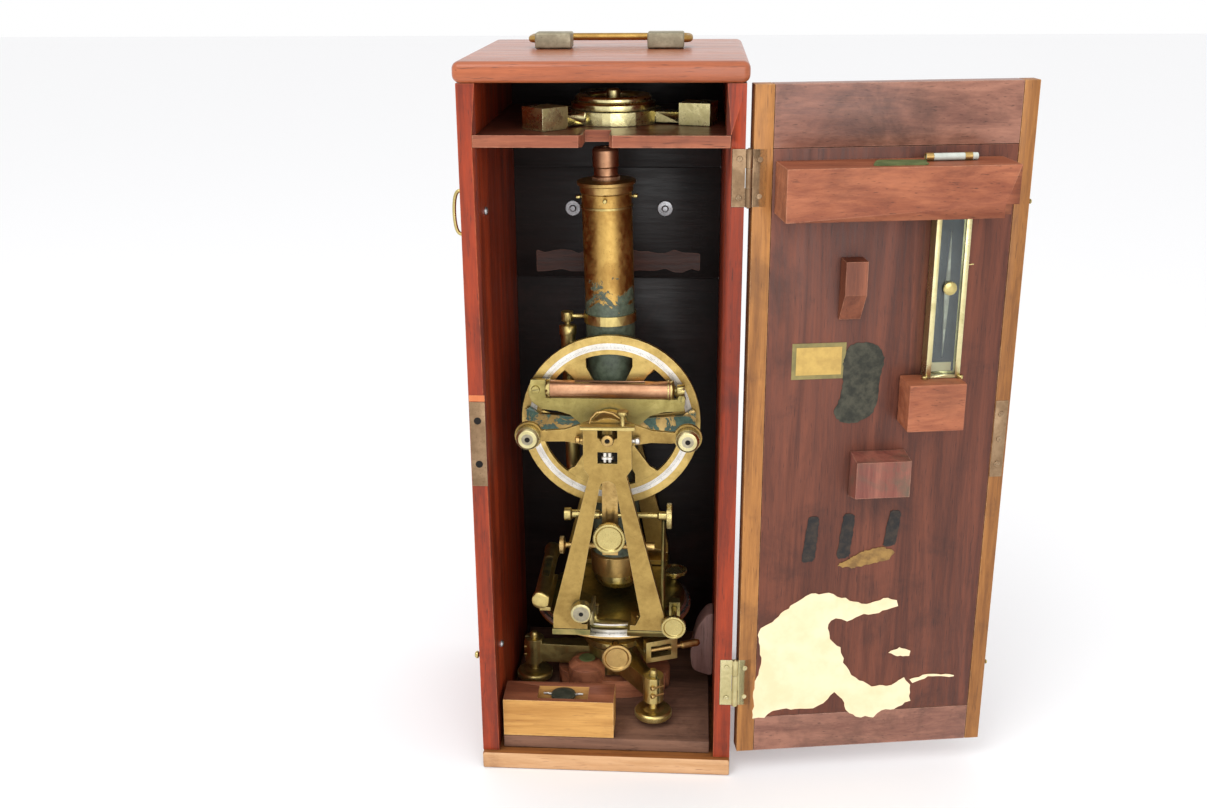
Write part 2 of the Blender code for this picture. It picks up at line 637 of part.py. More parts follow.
def build_accessory_box():
    left = -BOARD_WIDTH / 2 + BOX_SIDE_GAP
    x = (left, left + BOX_WIDTH)
    y = (BOARD_FRONT + 1.0, BOARD_FRONT + 1.0 + BOX_DEPTH)
    z = (BOARD_TOP + GAP, BOARD_TOP + GAP + BOX_HEIGHT)
    well = slab((x[0] + BOX_WELL_MARGINS[0], x[1] - BOX_WELL_MARGINS[1]),
                (y[0] + BOX_WALL - 2, y[1] - BOX_WALL), (z[0] + BOX_WALL, z[1] + 1))
    add_part("accessory_box", cut(slab(x, y, z), well), WOOD_PALE)


def build_tribrach():
    ledge = TRIBRACH_BOTTOM + 2.0
    solids = [rod(HUB_RADIUS, (AXIS_X, AXIS_Y, TRIBRACH_BOTTOM), (AXIS_X, AXIS_Y, TRIBRACH_TOP), 30)]
    for index in range(3):
        solids.append(tribrach_arm(index, ARM_WIDTH, ledge, ledge + ARM_HEIGHT))
        x, y = foot_place(index)
        solids.append(rod(BOSS_RADIUS, (x, y, ledge - 1.5), (x, y, ledge + ARM_HEIGHT + 4), 20))
    body = fuse(*solids)
    bores = [rod(LIMB_SPINDLE + GAP, (AXIS_X, AXIS_Y, TRIBRACH_BOTTOM + 3),
                 (AXIS_X, AXIS_Y, TRIBRACH_TOP + 1), 32)]
    for index in range(3):
        x, y = foot_place(index)
        bores.append(rod(FOOT_SPINDLE_RADIUS + GAP, (x, y, ledge - 5), (x, y, ledge + ARM_HEIGHT + 6), 20))
        turn = Matrix.Translation((AXIS_X, AXIS_Y, 0)) @ Matrix.Rotation(foot_angle(index), 4, "Z")
        bores.append(moved(slab((FOOT_CIRCLE, FOOT_CIRCLE + 12), (-0.8, 0.8),
                                (ledge - 3, ledge + ARM_HEIGHT + 6)), turn))
    add_part("tribrach", cut(body, *bores), BRASS)


def build_foot_screws():
    low = BOARD_TOP + GAP
    disc = low + FOOT_POINT
    top = TRIBRACH_BOTTOM + ARM_HEIGHT + 11.0
    r = FOOT_DISC_RADIUS
    s = FOOT_SPINDLE_RADIUS
    profile = [(0, low), (3.0, low), (5.0, disc), (r - 1.2, disc), (r, disc + 1.2),
               (r, disc + FOOT_DISC_THICKNESS - 1.2), (r - 1.2, disc + FOOT_DISC_THICKNESS),
               (r * 0.6, disc + FOOT_DISC_THICKNESS), (s + 1.4, disc + FOOT_DISC_THICKNESS + 1.4),
               (s, disc + FOOT_DISC_THICKNESS + 1.4), (s, top - 2), (2.4, top), (0, top)]
    for index in range(3):
        x, y = foot_place(index)
        add_part("foot_screw_%d" % (index + 1), turned(profile, 20, at=(x, y, 0)), BRASS,
                 origin=(x, y, low))


def build_limb():
    bottom = LIMB_TOP - LIMB_THICKNESS
    r = LIMB_RADIUS
    profile = [(0, TRIBRACH_BOTTOM + 5), (LIMB_SPINDLE, TRIBRACH_BOTTOM + 5),
               (LIMB_SPINDLE, TRIBRACH_TOP + GAP), (LIMB_NECK, TRIBRACH_TOP + GAP),
               (LIMB_NECK, TRIBRACH_TOP + 8), (27, bottom - 10), (34, bottom), (r - 2, bottom),
               (r, bottom + 1.5), (r, bottom + 3.5), (r - 4.4, LIMB_TOP), (VERNIER_SPINDLE + GAP, LIMB_TOP),
               (VERNIER_SPINDLE + GAP, LIMB_TOP - 24), (0, LIMB_TOP - 24)]
    add_part("limb_plate", turned(profile, 44, at=(AXIS_X, AXIS_Y, 0)), SILVER,
             origin=(AXIS_X, AXIS_Y, LIMB_TOP))


def build_lower_clamp():
    """Clamp wheel and tangent frame under the limb, both carried on the tribrach's hub."""
    angle = math.radians(LOWER_CLAMP_ANGLE)
    out = Vector((math.cos(angle), math.sin(angle), 0))
    centre = Vector((AXIS_X, AXIS_Y, LOWER_CLAMP_HEIGHT))
    start, wheel, rim = LOWER_CLAMP_START, LOWER_CLAMP_REACH, LOWER_CLAMP_RADIUS
    shank = SHANK_RADIUS
    turn = Vector((0, 0, 1)).rotation_difference(out).to_matrix().to_4x4()
    profile = [(0, start), (shank, start), (shank, wheel - 4), (4.0, wheel - 3), (rim, wheel - 3),
               (rim, wheel), (rim - 1.9, wheel), (rim - 2.9, wheel - 1.2), (0, wheel - 1.2)]
    screw = moved(turned(profile, 20), Matrix.Translation(centre) @ turn)
    add_part("lower_clamp_screw", screw, BRASS, origin=tuple(centre))
    yaw = Matrix.Translation((AXIS_X, AXIS_Y, 0)) @ Matrix.Rotation(math.radians(LOWER_TANGENT_ANGLE), 4,
                                                                    "Z")
    low, high = LOWER_FRAME
    y = -LOWER_TANGENT_OFFSET
    tangent_z = LOWER_TANGENT_HEIGHT
    collar = turned([(LIMB_NECK + GAP, low + 1), (LIMB_NECK + 5, low + 1), (LIMB_NECK + 5, low + 5.5),
                     (LIMB_NECK + GAP, low + 5.5)], 30)
    stem = slab((10.5, 17), (-44, -18), (low + 1, low + 5.5))
    outer = slab((10, 36), (y - 3.5, y + 3.5), (low, high))
    window = slab((14, 31), (y - 5.5, y + 5.5), (low + 4, high - 4))
    frame = moved(cut(fuse(collar, stem, outer), window), yaw)
    bore_low, bore_high = (8, y, tangent_z), (40, y, tangent_z)
    frame = cut(frame, moved(rod(LOWER_TANGENT_SHANK + GAP, bore_low, bore_high, 20), yaw))
    frame = cut(frame, rod(shank + GAP, tuple(centre + out * 12), tuple(centre + out * 30), 20))
    add_part("lower_tangent_frame", frame, BRASS)
    thin = LOWER_TANGENT_SHANK
    profile = [(0, 12), (thin, 12), (thin, 40), (3.0, 41), (3.0, 54), (2.0, 56), (0, 56)]
    tangent = moved(turned(profile, 20, "X"), yaw @ Matrix.Translation((0, y, tangent_z)))
    at = yaw @ Vector((20, y, tangent_z))
    add_part("lower_tangent_screw", tangent, BRASS, origin=tuple(at))


# ---------------------------------------------------------------- upper works
def build_vernier_plate():
    low = LIMB_TOP + GAP
    r = VERNIER_RADIUS
    foot = LIMB_TOP - VERNIER_SPINDLE_DEPTH
    profile = [(0, foot), (VERNIER_SPINDLE, foot), (VERNIER_SPINDLE, low), (r, low), (r, low + 2.5),
               (r - 4, PLATE_TOP), (0, PLATE_TOP)]
    solids = [turned(profile, 44, at=(AXIS_X, AXIS_Y, 0))]
    inner = LEG_SPREAD / 2 - LEG_WIDTH - 10
    for sx in (-1, 1):
        for sy in (-1, 1):
            xs = sorted((AXIS_X + sx * inner, AXIS_X + sx * (LEG_SPREAD / 2 + 1)))
            ys = sorted((AXIS_Y + sy * 36, AXIS_Y + sy * (STANDARD_OFFSET + STANDARD_THICKNESS)))
            solids.append(slab(xs, ys, (low + 0.5, PLATE_TOP - 0.4)))
    solids.append(slab((AXIS_X + 30, AXIS_X + 54), (AXIS_Y - 42, AXIS_Y - 33),
                       (low + 0.7, PLATE_TOP - 0.7)))
    solids.append(slab((AXIS_X + 45.5, AXIS_X + 54), (AXIS_Y - 42, AXIS_Y - 33),
                       (low + 0.7, TANGENT_Z + 5)))
    solids.append(slab((AXIS_X + 39, AXIS_X + 42.2), (AXIS_Y - 37, AXIS_Y - 28), (low + 1, 186)))
    lens_x, lens_y = LENS_PIVOT
    solids.append(rod(3.6, (lens_x, lens_y, low + 1), (lens_x, lens_y, PLATE_TOP + 3), 16))
    bore_x = AXIS_X + UPPER_TANGENT_X
    bore = rod(SHANK_RADIUS + GAP, (bore_x, AXIS_Y - 60, TANGENT_Z), (bore_x, AXIS_Y - 20, TANGENT_Z), 16)
    pivot_bore = rod(LENS_PIN + GAP, (lens_x, lens_y, PLATE_TOP - 1), (lens_x, lens_y, PLATE_TOP + 4), 16)
    add_part("vernier_plate", cut(fuse(*solids), bore, pivot_bore), BRASS,
             origin=(AXIS_X, AXIS_Y, PLATE_TOP))


def standard_outline():
    """Front view of an A standard about its own centre line, as (x, z)."""
    foot = PLATE_TOP + GAP + FOOT_FLANGE
    head = TRUNNION_HEIGHT + 8.0
    half = HEAD_WIDTH / 2
    shoulder = head - HEAD_HEIGHT
    right = [(half, head), (half, shoulder), (NECK_WIDTH / 2, shoulder - 6), (LEG_SPREAD / 2, foot + 8),
             (LEG_SPREAD / 2, foot), (LEG_SPREAD / 2 - LEG_WIDTH - 4, foot),
             (LEG_SPREAD / 2 - LEG_WIDTH, foot + 8)]
    arch = arc((0, shoulder - 16), ARCH_RADIUS, 0, 180, 8)
    left = [(-x, z) for x, z in reversed(right)]
    return right + arch + left


def build_standard(name, side):
    near = AXIS_Y + side * STANDARD_OFFSET
    far = AXIS_Y + side * (STANDARD_OFFSET + STANDARD_THICKNESS)
    body = plate_xz([(AXIS_X + x, z) for x, z in standard_outline()], (min(near, far), max(near, far)))
    flanges = []
    low = PLATE_TOP + GAP
    for sx in (-1, 1):
        xs = sorted((AXIS_X + sx * (LEG_SPREAD / 2), AXIS_X + sx * (LEG_SPREAD / 2 - LEG_WIDTH - 8)))
        ys = sorted((far, near - side * (FLANGE_REACH - STANDARD_THICKNESS)))
        flanges.append(slab(xs, ys, (low, low + FOOT_FLANGE + 0.4)))
    body = fuse(body, *flanges)
    ys = (min(near, far) - 1, max(near, far) + 1)
    window = slab((AXIS_X - HEAD_WINDOW, AXIS_X + HEAD_WINDOW), ys,
                  (TRUNNION_HEIGHT + 1, TRUNNION_HEIGHT + 12))
    slot = slab((AXIS_X - TRUNNION_END_RADIUS - GAP, AXIS_X + TRUNNION_END_RADIUS + GAP), ys,
                (TRUNNION_HEIGHT, TRUNNION_HEIGHT + 12))
    seat = rod(TRUNNION_END_RADIUS + GAP, (AXIS_X, ys[0], TRUNNION_HEIGHT),
               (AXIS_X, ys[1], TRUNNION_HEIGHT), 20)
    opening = slab((AXIS_X - HEAD_WINDOW, AXIS_X + HEAD_WINDOW), ys,
                   (TRUNNION_HEIGHT - 18, TRUNNION_HEIGHT - 9))
    add_part(name, cut(body, window, slot, seat, opening), BRASS, origin=(AXIS_X, (near + far) / 2, low))


def build_bearing_cap():
    near, far = STANDARD_FACE, STANDARD_FACE - STANDARD_THICKNESS
    low = TRUNNION_HEIGHT + 8 + GAP
    half = HEAD_WIDTH / 2 + 2
    cap = slab((AXIS_X - half, AXIS_X + half), (far - 1, near), (low, low + 2.4))
    pad = slab((AXIS_X - 3.6, AXIS_X + 3.6), (far + 0.5, near - 0.5),
               (TRUNNION_HEIGHT + TRUNNION_END_RADIUS + GAP, low + 1))
    pillar = turned([(0, low + 1), (1.9, low + 1), (1.9, low + 11), (4.2, low + 11), (4.2, low + 13.5),
                     (0, low + 13.5)], 16, at=(AXIS_X + 11, (near + far) / 2, 0))
    add_part("bearing_cap", fuse(cap, pad, pillar), BRASS)


def build_plate_level():
    low = PLATE_TOP + GAP
    y = (AXIS_Y - 62, AXIS_Y + 30)
    profile = [(0, 0), (6.7, 0), (6.7, 5), (5.7, 6), (5.7, 86), (6.7, 87), (6.7, 92), (0, 92)]
    x = AXIS_X + LEVEL_X
    tube = turned(profile, 18, "Y", (x, y[1], LEVEL_HEIGHT))
    rail = slab((x - 3.5, x + 5), (AXIS_Y - 40, AXIS_Y + 18), (low, low + 3))
    posts = [slab((x - 2.6, x + 2.6), (AXIS_Y - 39, AXIS_Y - 33), (low + 1, LEVEL_HEIGHT - 3)),
             slab((x - 2.6, x + 2.6), (AXIS_Y + 10, AXIS_Y + 16), (low + 1, LEVEL_HEIGHT - 3))]
    window = slab((x - 3, x + 3), (AXIS_Y - 30, AXIS_Y + 6), (LEVEL_HEIGHT + 3.6, LEVEL_HEIGHT + 8))
    add_part("plate_level", cut(fuse(tube, rail, *posts), window), BRASS)


def build_upper_screws():
    z = TANGENT_Z
    x, front = AXIS_X + UPPER_TANGENT_X, AXIS_Y - 74
    profile = [(0, 0), (SHANK_RADIUS, 0), (SHANK_RADIUS, 40), (3.6, 41), (3.6, 44), (9.0, 44), (9.0, 48.5),
               (7.6, 48.5), (6.8, 47.2), (0, 47.2)]
    add_part("upper_tangent_screw", turned(profile, 20, "Y", (x, front + 48.5, z)), BRASS_PALE,
             origin=(x, front, z))
    x, y = AXIS_X + UPPER_CLAMP_X, AXIS_Y + UPPER_CLAMP_Y
    low = PLATE_TOP + GAP
    profile = [(0, low), (5.0, low), (5.0, low + 2.4), (3.0, low + 3.0), (3.0, low + 4.2), (9.8, low + 4.2),
               (9.8, low + 7.2), (8.4, low + 7.2), (7.4, low + 6.2), (0, low + 6.2)]
    add_part("upper_clamp_screw", turned(profile, 20, at=(x, y, 0)), BRASS, origin=(x, y, low))


def build_plate_magnifier():
    """Reading lens on an arm that swings about an upright pin."""
    x, y = LENS_PIVOT
    front = AXIS_Y - 77
    low = PLATE_TOP + 3 + GAP
    barrel = turned([(0, 0), (7.8, 0), (7.8, 7.5), (6.6, 8.2), (2.2, 8.2), (1.6, 7.2), (0, 7.2)], 20, "Y",
                    (x - 7.8, front + 8.2, PLATE_TOP + 17.5))
    arm = slab((x - 1.4, x + 1.4), (front + 2, y), (PLATE_TOP + 7.8, PLATE_TOP + 19))
    hub = turned([(0, low - 3), (LENS_PIN, low - 3), (LENS_PIN, low), (3.6, low), (3.6, low + 8),
                  (0, low + 8)], 16, at=(x, y, 0))
    add_part("plate_magnifier", fuse(barrel, arm, hub), BRASS_PALE, origin=(x, y, low))


# ---------------------------------------------------------------- vertical circle, index frame, level
def around_trunnion(profile, y, steps=24):
    return turned(profile, steps, "Y", (AXIS_X, y, TRUNNION_HEIGHT))


def build_circle(axis):
    """Spoked circle, drawn about the trunnion axis; x and z are from that axis."""
    back = -CIRCLE_OFFSET
    rim = turned([(CIRCLE_INNER, 0), (CIRCLE_RADIUS, 0), (CIRCLE_RADIUS, CIRCLE_THICKNESS),
                  (CIRCLE_INNER, CIRCLE_THICKNESS)], 56, "Y", (0, back, 0))
    hub = turned([(0, -0.4), (CIRCLE_HUB, -0.4), (CIRCLE_HUB, CIRCLE_THICKNESS + 0.6),
                  (0, CIRCLE_THICKNESS + 0.6)], 24, "Y", (0, back, 0))
    spokes = []
    for index in range(SPOKES):
        outline = [(8, -8.5), (26, -5.0), (46, -6.5), (56, -12.5), (56, 12.5), (46, 6.5), (26, 5.0),
                   (8, 8.5)]
        spoke = plate_xz(outline, (back - CIRCLE_THICKNESS + 0.5, back - 0.5))
        spokes.append(moved(spoke, Matrix.Rotation(TAU * index / SPOKES, 4, "Y")))
    bore = rod(TRUNNION_RADIUS + GAP, (0, back - 9, 0), (0, back + 6, 0), 20)
    add_part("vertical_circle", cut(fuse(rim, hub, *spokes), bore), BRASS, parent=axis)


def build_trunnion(axis):
    """Cross axis with the ring that carries the tube."""
    centre = rod(CENTRE_RADIUS, (0, 0, -24), (0, 0, 24), 30)
    front = -STANDARD_OFFSET - STANDARD_THICKNESS - 0.6
    rear = STANDARD_OFFSET + STANDARD_THICKNESS - 0.6
    end = TRUNNION_END_RADIUS
    profile = [(0, front), (end, front), (end, -STANDARD_OFFSET + GAP),
               (TRUNNION_RADIUS, -STANDARD_OFFSET + GAP), (TRUNNION_RADIUS, -CIRCLE_OFFSET + 0.9),
               (13, -CIRCLE_OFFSET + 0.9), (15, -12), (15, 12), (10, 30), (TRUNNION_RADIUS, 40),
               (TRUNNION_RADIUS, STANDARD_OFFSET - GAP), (end, STANDARD_OFFSET - GAP), (end, rear),
               (0, rear)]
    cross = turned([(r, -y) for r, y in reversed(profile)], 28, "Y")
    eye = rod(1.8, (0, front - 1, 0), (0, front + 8, 0), 16)
    bore = rod(TUBE_RADIUS + GAP, (0, 0, -30), (0, 0, 30), 30)
    add_part("trunnion_axis", cut(fuse(centre, cross), bore, eye), BRASS, parent=axis)


def build_telescope(axis):
    low = DRUM_BOTTOM - TRUNNION_HEIGHT
    top = TUBE_TOP - TRUNNION_HEIGHT
    drum = low + DRUM_HEIGHT
    bore = TUBE_RADIUS - TUBE_WALL
    profile = [(bore, low), (DRUM_RADIUS, low), (DRUM_RADIUS, drum), (TUBE_RADIUS, drum + 1.0),
               (TUBE_RADIUS, top - 6), (19.6, top - 5), (19.6, top), (COLLAR_RADIUS, top + 0.5),
               (COLLAR_RADIUS, top + 3.0), (13.5, top + 3.6), (EYEPIECE_RADIUS + GAP, top + 3.6),
               (EYEPIECE_RADIUS + GAP, top - 3), (7.5, top - 3), (7.5, top - 6), (bore, top - 6)]
    add_part("telescope_tube", turned(profile, 30), GREEN, parent=axis)


def build_eyepiece(axis):
    low = TUBE_TOP - TRUNNION_HEIGHT - 3 + GAP
    high = low + 3 + EYEPIECE_LENGTH + 1.7
    r = EYEPIECE_RADIUS
    profile = [(0, low), (r, low), (r, low + 9), (r - 1.2, low + 9.6), (r - 1.2, low + 15),
               (r - 0.4, low + 16), (r - 0.4, high - 2), (r - 1.6, high), (3.2, high), (3.2, high - 3),
               (0, high - 3)]
    add_part("eyepiece", turned(profile, 20), BRASS, parent=axis, origin=(0, 0, low))


def build_objective_cap(axis):
    low = CAP_BOTTOM - TRUNNION_HEIGHT
    rim = DRUM_BOTTOM - TRUNNION_HEIGHT - GAP
    r = CAP_RADIUS
    profile = [(0, low), (r - 7, low), (r - 2.5, low + 2.5), (r, low + 7), (r, rim), (r - 1.2, rim),
               (r - 1.2, low + 7), (r - 4, low + 3.6), (0, low + 1.6)]
    add_part("objective_cap", turned(profile, 24), BRASS_PALE, parent=axis, origin=(0, 0, rim))


def build_side_level(axis):
    """Sensitive level along the tube's left side."""
    half = SIDE_LEVEL_HALF
    r = SIDE_LEVEL_RADIUS
    profile = [(0, -half), (r, -half), (r, -half + 6), (r - 1, -half + 7), (r - 1, half - 7), (r, half - 6),
               (r, half), (2.2, half + 1), (2.2, half + 4), (4.6, half + 4), (4.6, half + 11),
               (0, half + 11)]
    tube = turned(profile, 24, at=(-SIDE_LEVEL_OFFSET, 0, 0))
    stays = []
    for z in (-half + 3.0, half + 7.5):
        stays.append(rod(1.8, (-SIDE_LEVEL_OFFSET, 0, z), (-TUBE_RADIUS - 0.8, 0, z), 14))
        stays.append(turned([(TUBE_RADIUS + GAP, z - 3.6), (TUBE_RADIUS + 1.3, z - 3.6),
                             (TUBE_RADIUS + 1.3, z + 3.6), (TUBE_RADIUS + GAP, z + 3.6)],
                            30))
    add_part("telescope_level", fuse(tube, *stays), BRASS, parent=axis)


def build_index_frame():
    """Vernier arms either side of the trunnion, with the leg between the clip screws."""
    outline = arc((0, 0), 16, 15, 165, 12) + [(-54, 7), (-61, 12), (-64, 10), (-64, -10), (-61, -12),
                                              (-54, -7)]
    outline += arc((0, 0), 16, 195, 240, 4) + [(-5, -70), (-5, -82), (5, -82), (5, -70)]
    outline += arc((0, 0), 16, 300, 345, 4) + [(54, -7), (61, -12), (64, -10), (64, 10), (61, 12), (54, 7)]
    frame = plate_xz([(AXIS_X + x, TRUNNION_HEIGHT + z) for x, z in outline], (FRAME_FRONT, FRAME_BACK))
    bore = rod(TRUNNION_RADIUS + GAP, (AXIS_X, FRAME_FRONT - 1, TRUNNION_HEIGHT),
               (AXIS_X, FRAME_BACK + 1, TRUNNION_HEIGHT), 20)
    add_part("index_frame", cut(frame, bore), GREEN, origin=(AXIS_X, FRAME_BACK, TRUNNION_HEIGHT))


def build_level_bracket():
    top = BRACKET_TOP - TRUNNION_HEIGHT
    left = [(-48, top), (-48, top + 14), (-59, top + 14), (-61, top + 4), (-59, top - 3), (-51, top - 9)]
    left_curve = [(-40, top - 10), (-30, top - 13), (-22, top - 20), (-16, top - 27)]
    right_curve = [(-x, z) for x, z in reversed(left_curve)]
    right = [(55, top - 9), (56, top)]
    outline = left + left_curve + arc((0, 0), 15, 205, 335, 10) + right_curve + right
    plate = plate_xz([(AXIS_X + x, TRUNNION_HEIGHT + z) for x, z in outline], (BRACKET_FRONT, BRACKET_BACK))
    y = (BRACKET_FRONT - 1, BRACKET_BACK + 1)
    bore = rod(TRUNNION_RADIUS + GAP, (AXIS_X, y[0], TRUNNION_HEIGHT), (AXIS_X, y[1], TRUNNION_HEIGHT), 20)
    add_part("level_bracket", cut(plate, bore), BRASS)


def build_index_level():
    r = INDEX_LEVEL_RADIUS
    half = INDEX_LEVEL_LENGTH / 2 - 0.6
    y = BRACKET_FRONT
    z = BRACKET_TOP + GAP + r
    tube = turned([(0, -half), (r, -half), (r, -half + 2), (r - 0.5, -half + 2.4), (r - 0.5, half - 2.4),
                   (r, half - 2), (r, half), (2.4, half + 0.6), (2.4, half + 2.4), (4.4, half + 2.4),
                   (4.4, half + 8), (0, half + 8)], 24, "X", (AXIS_X, y, z))
    window = slab((AXIS_X - 26, AXIS_X + 26), (y - 3.4, y + 3.4), (z + 4.6, z + 9))
    add_part("index_level", cut(tube, window), COPPER)


def build_magnifiers():
    """Bar that swings on the trunnion, with a reading lens over each vernier."""
    y = (ARM_PLANE - FRAME_THICKNESS, ARM_PLANE)
    upper = [(-MAGNIFIER_REACH, 4.4), (-46, 4.0), (-32, 5.2), (-22, 8.6), (-14, 11.5)] + arc((0, 0), 14.5,
                                                                                             125, 55, 8)
    upper += [(14, 11.5), (22, 8.6), (32, 5.2), (46, 4.0), (MAGNIFIER_REACH, 4.4)]
    lower = [(MAGNIFIER_REACH, -3.4), (46, -4.4), (32, -4.0), (20, -6.0)] + arc((0, 0), 14.5, -45, -135, 8)
    lower += [(-20, -6.0), (-32, -4.0), (-46, -4.4), (-MAGNIFIER_REACH, -3.4)]
    bar = plate_xz([(AXIS_X + x, TRUNNION_HEIGHT + z) for x, z in upper + lower], y)
    holes = [rod(TRUNNION_RADIUS + GAP, (AXIS_X, y[0] - 1, TRUNNION_HEIGHT),
                 (AXIS_X, y[1] + 1, TRUNNION_HEIGHT), 20)]
    rings = []
    for side in (-1, 1):
        x = AXIS_X + side * MAGNIFIER_REACH
        rings.append(rod(MAGNIFIER_RADIUS + 2.0, (x, y[0] - 0.2, TRUNNION_HEIGHT),
                         (x, y[1] + 0.2, TRUNNION_HEIGHT), 20))
        holes.append(rod(LENS_BARREL + GAP, (x, y[0] - 1, TRUNNION_HEIGHT), (x, y[1] + 1, TRUNNION_HEIGHT),
                         24))
    add_part("magnifier_bar", cut(fuse(bar, *rings), *holes), BRASS,
             origin=(AXIS_X, ARM_PLANE, TRUNNION_HEIGHT))
    r = MAGNIFIER_RADIUS
    back = ARM_PLANE + 9.0
    for side, name in ((-1, "circle_magnifier_left"), (1, "circle_magnifier_right")):
        x = AXIS_X + side * MAGNIFIER_REACH
        profile = [(0, 0), (LENS_BARREL, 0), (LENS_BARREL, 12.6), (r, 12.9), (r, 19),
                   (r - 1.6, MAGNIFIER_LENGTH - 2), (2.4, MAGNIFIER_LENGTH - 2),
                   (1.4, MAGNIFIER_LENGTH - 4.5), (0, MAGNIFIER_LENGTH - 4.5)]
        add_part(name, turned(profile, 18, "Y", (x, back, TRUNNION_HEIGHT)), BRASS_PALE,
                 origin=(x, back, TRUNNION_HEIGHT))


def build_vertical_clamp():
    """Clamp arm hanging from the trunnion, its screw, and the two cross screws."""
    y = (CLAMP_Y - CLAMP_HALF, CLAMP_Y + CLAMP_HALF)
    ring = around_trunnion([(TRUNNION_RADIUS + GAP, 0), (14, 0), (14, 6), (TRUNNION_RADIUS + GAP, 6)], y[1])
    leg = slab((AXIS_X - 6, AXIS_X + 6), y, (160, TRUNNION_HEIGHT - 12))
    tangent_z, clip_z, clamp_z = TANGENT_HEIGHT, CLIP_HEIGHT, CLAMP_HEIGHT
    reach = 40.0
    bores = []
    for z in (tangent_z, clip_z):
        bores.append(rod(SHANK_RADIUS + GAP, (AXIS_X - reach, CLAMP_Y, z), (AXIS_X + reach, CLAMP_Y, z), 16))
    bores.append(rod(CLAMP_SHANK + GAP, (AXIS_X, y[0] - 2, clamp_z), (AXIS_X, y[0] + 4.4, clamp_z), 16))
    add_part("clamp_arm", cut(fuse(ring, leg), *bores), BRASS)
    front = STANDARD_FACE + 3.5
    length = y[0] + 4 - front
    profile = [(0, 0), (CLAMP_SHANK, 0), (CLAMP_SHANK, length - 5), (5, length - 4.4), (12, length - 4.4),
               (12, length), (10.4, length), (9.2, length - 1.4), (0, length - 1.4)]
    add_part("vertical_clamp_screw", turned(profile, 18, "Y", (AXIS_X, y[0] + 4, clamp_z)), BRASS_PALE,
             origin=(AXIS_X, front, clamp_z))
    profile = [(0, -35), (5, -35), (5, -30), (3.4, -29), (3.4, -8), (SHANK_RADIUS, -7.4),
               (SHANK_RADIUS, 36), (3.4, 37), (3.4, 43), (9.5, 43), (9.5, 47), (0, 47)]
    add_part("vertical_tangent_screw", turned(profile, 20, "X", (AXIS_X, CLAMP_Y, tangent_z)), BRASS_PALE,
             origin=(AXIS_X, CLAMP_Y, tangent_z))
    profile = [(0, -39), (6.4, -39), (6.4, -35.5), (SHANK_RADIUS, -34.5), (SHANK_RADIUS, 24), (3.4, 24.4),
               (3.4, 34), (0, 34)]
    add_part("index_clip_screw", turned(profile, 18, "X", (AXIS_X, CLAMP_Y, clip_z)), BRASS,
             origin=(AXIS_X, CLAMP_Y, clip_z))


# ---------------------------------------------------------------- tripod plate on the shelf
def build_tripod_plate():
    low = SHELF_TOP + GAP
    centre = (TRIPOD_X, TRIPOD_Y)
    solids = [rod(TRIPOD_RADIUS, (*centre, low), (*centre, low + TRIPOD_THICKNESS), 36)]
    cuts = [rod(TRIPOD_BORE, (*centre, low - 1), (*centre, low + 12), 32)]
    for index in range(3):
        angle = math.radians(TRIPOD_FIRST_ARM + 120 * index)
        turn = Matrix.Translation((*centre, 0)) @ Matrix.Rotation(angle, 4, "Z")
        solids.append(moved(slab((20, TRIPOD_REACH), (-7, 7), (low + 1, low + 8)), turn))
        solids.append(moved(slab((TRIPOD_REACH - LUG_SIZE / 2, TRIPOD_REACH + LUG_SIZE / 2),
                                 (-LUG_SIZE / 2, LUG_SIZE / 2), (low, low + LUG_HEIGHT)),
                            turn))
    add_part("tripod_plate", cut(fuse(*solids), *cuts), BRASS_PALE)
    ring_low = low + TRIPOD_THICKNESS + GAP
    inner, outer = TRIPOD_RING_BORE, TRIPOD_RING_RADIUS
    profile = [(inner, ring_low), (outer, ring_low), (outer, ring_low + 4), (outer - 3, ring_low + 5.5),
               (inner, ring_low + 5.5)]
    add_part("tripod_lock_ring", turned(profile, 36, at=(*centre, 0)), BRASS, origin=(*centre, ring_low))
    stud_low = low - 0.1 + GAP
    profile = [(0, stud_low), (13.2, stud_low), (13.2, stud_low + 3), (5, stud_low + 4), (5, ring_low + 12),
               (3.6, ring_low + 13), (0, ring_low + 13)]
    add_part("tripod_centre_screw", turned(profile, 20, at=(*centre, 0)), BRASS, origin=(*centre, stud_low))


def build_all():
    for obj in list(bpy.data.objects):
        bpy.data.objects.remove(obj)
    door_axis = pivot("door_axis", (PIN_X, PIN_Y, 0), "Z", DOOR_PAST_STRAIGHT)
    tilt_axis = pivot("tilt_axis", (AXIS_X, AXIS_Y, TRUNNION_HEIGHT), "Y", TELESCOPE_LEAN)
    for build in (build_base, build_sides, build_back, build_lid, build_shelf, build_handle, build_board,
                  build_seat, build_accessory_box, build_tribrach, build_foot_screws, build_limb,
                  build_lower_clamp, build_vernier_plate, build_bearing_cap, build_plate_level,
                  build_upper_screws, build_plate_magnifier, build_index_frame, build_level_bracket,
                  build_index_level, build_magnifiers, build_vertical_clamp, build_tripod_plate):
        build()
    build_standard("front_standard", -1)
    build_standard("rear_standard", 1)
    for build in (build_hinges, build_door, build_door_blocks, build_compass):
        build(door_axis)
    for build in (build_circle, build_trunnion, build_telescope, build_eyepiece, build_objective_cap,
                  build_side_level):
        build(tilt_axis)


build_all()
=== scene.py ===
"""Looks of a transit theodolite that stands in its open mahogany carrying case.

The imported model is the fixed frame.  Sizes here are in millimetres and become metres when a mesh is made.
+X runs to the right along the case's front, +Y into the case and +Z up.  Each class dresses one
sub-assembly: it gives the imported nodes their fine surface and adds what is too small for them.
"""

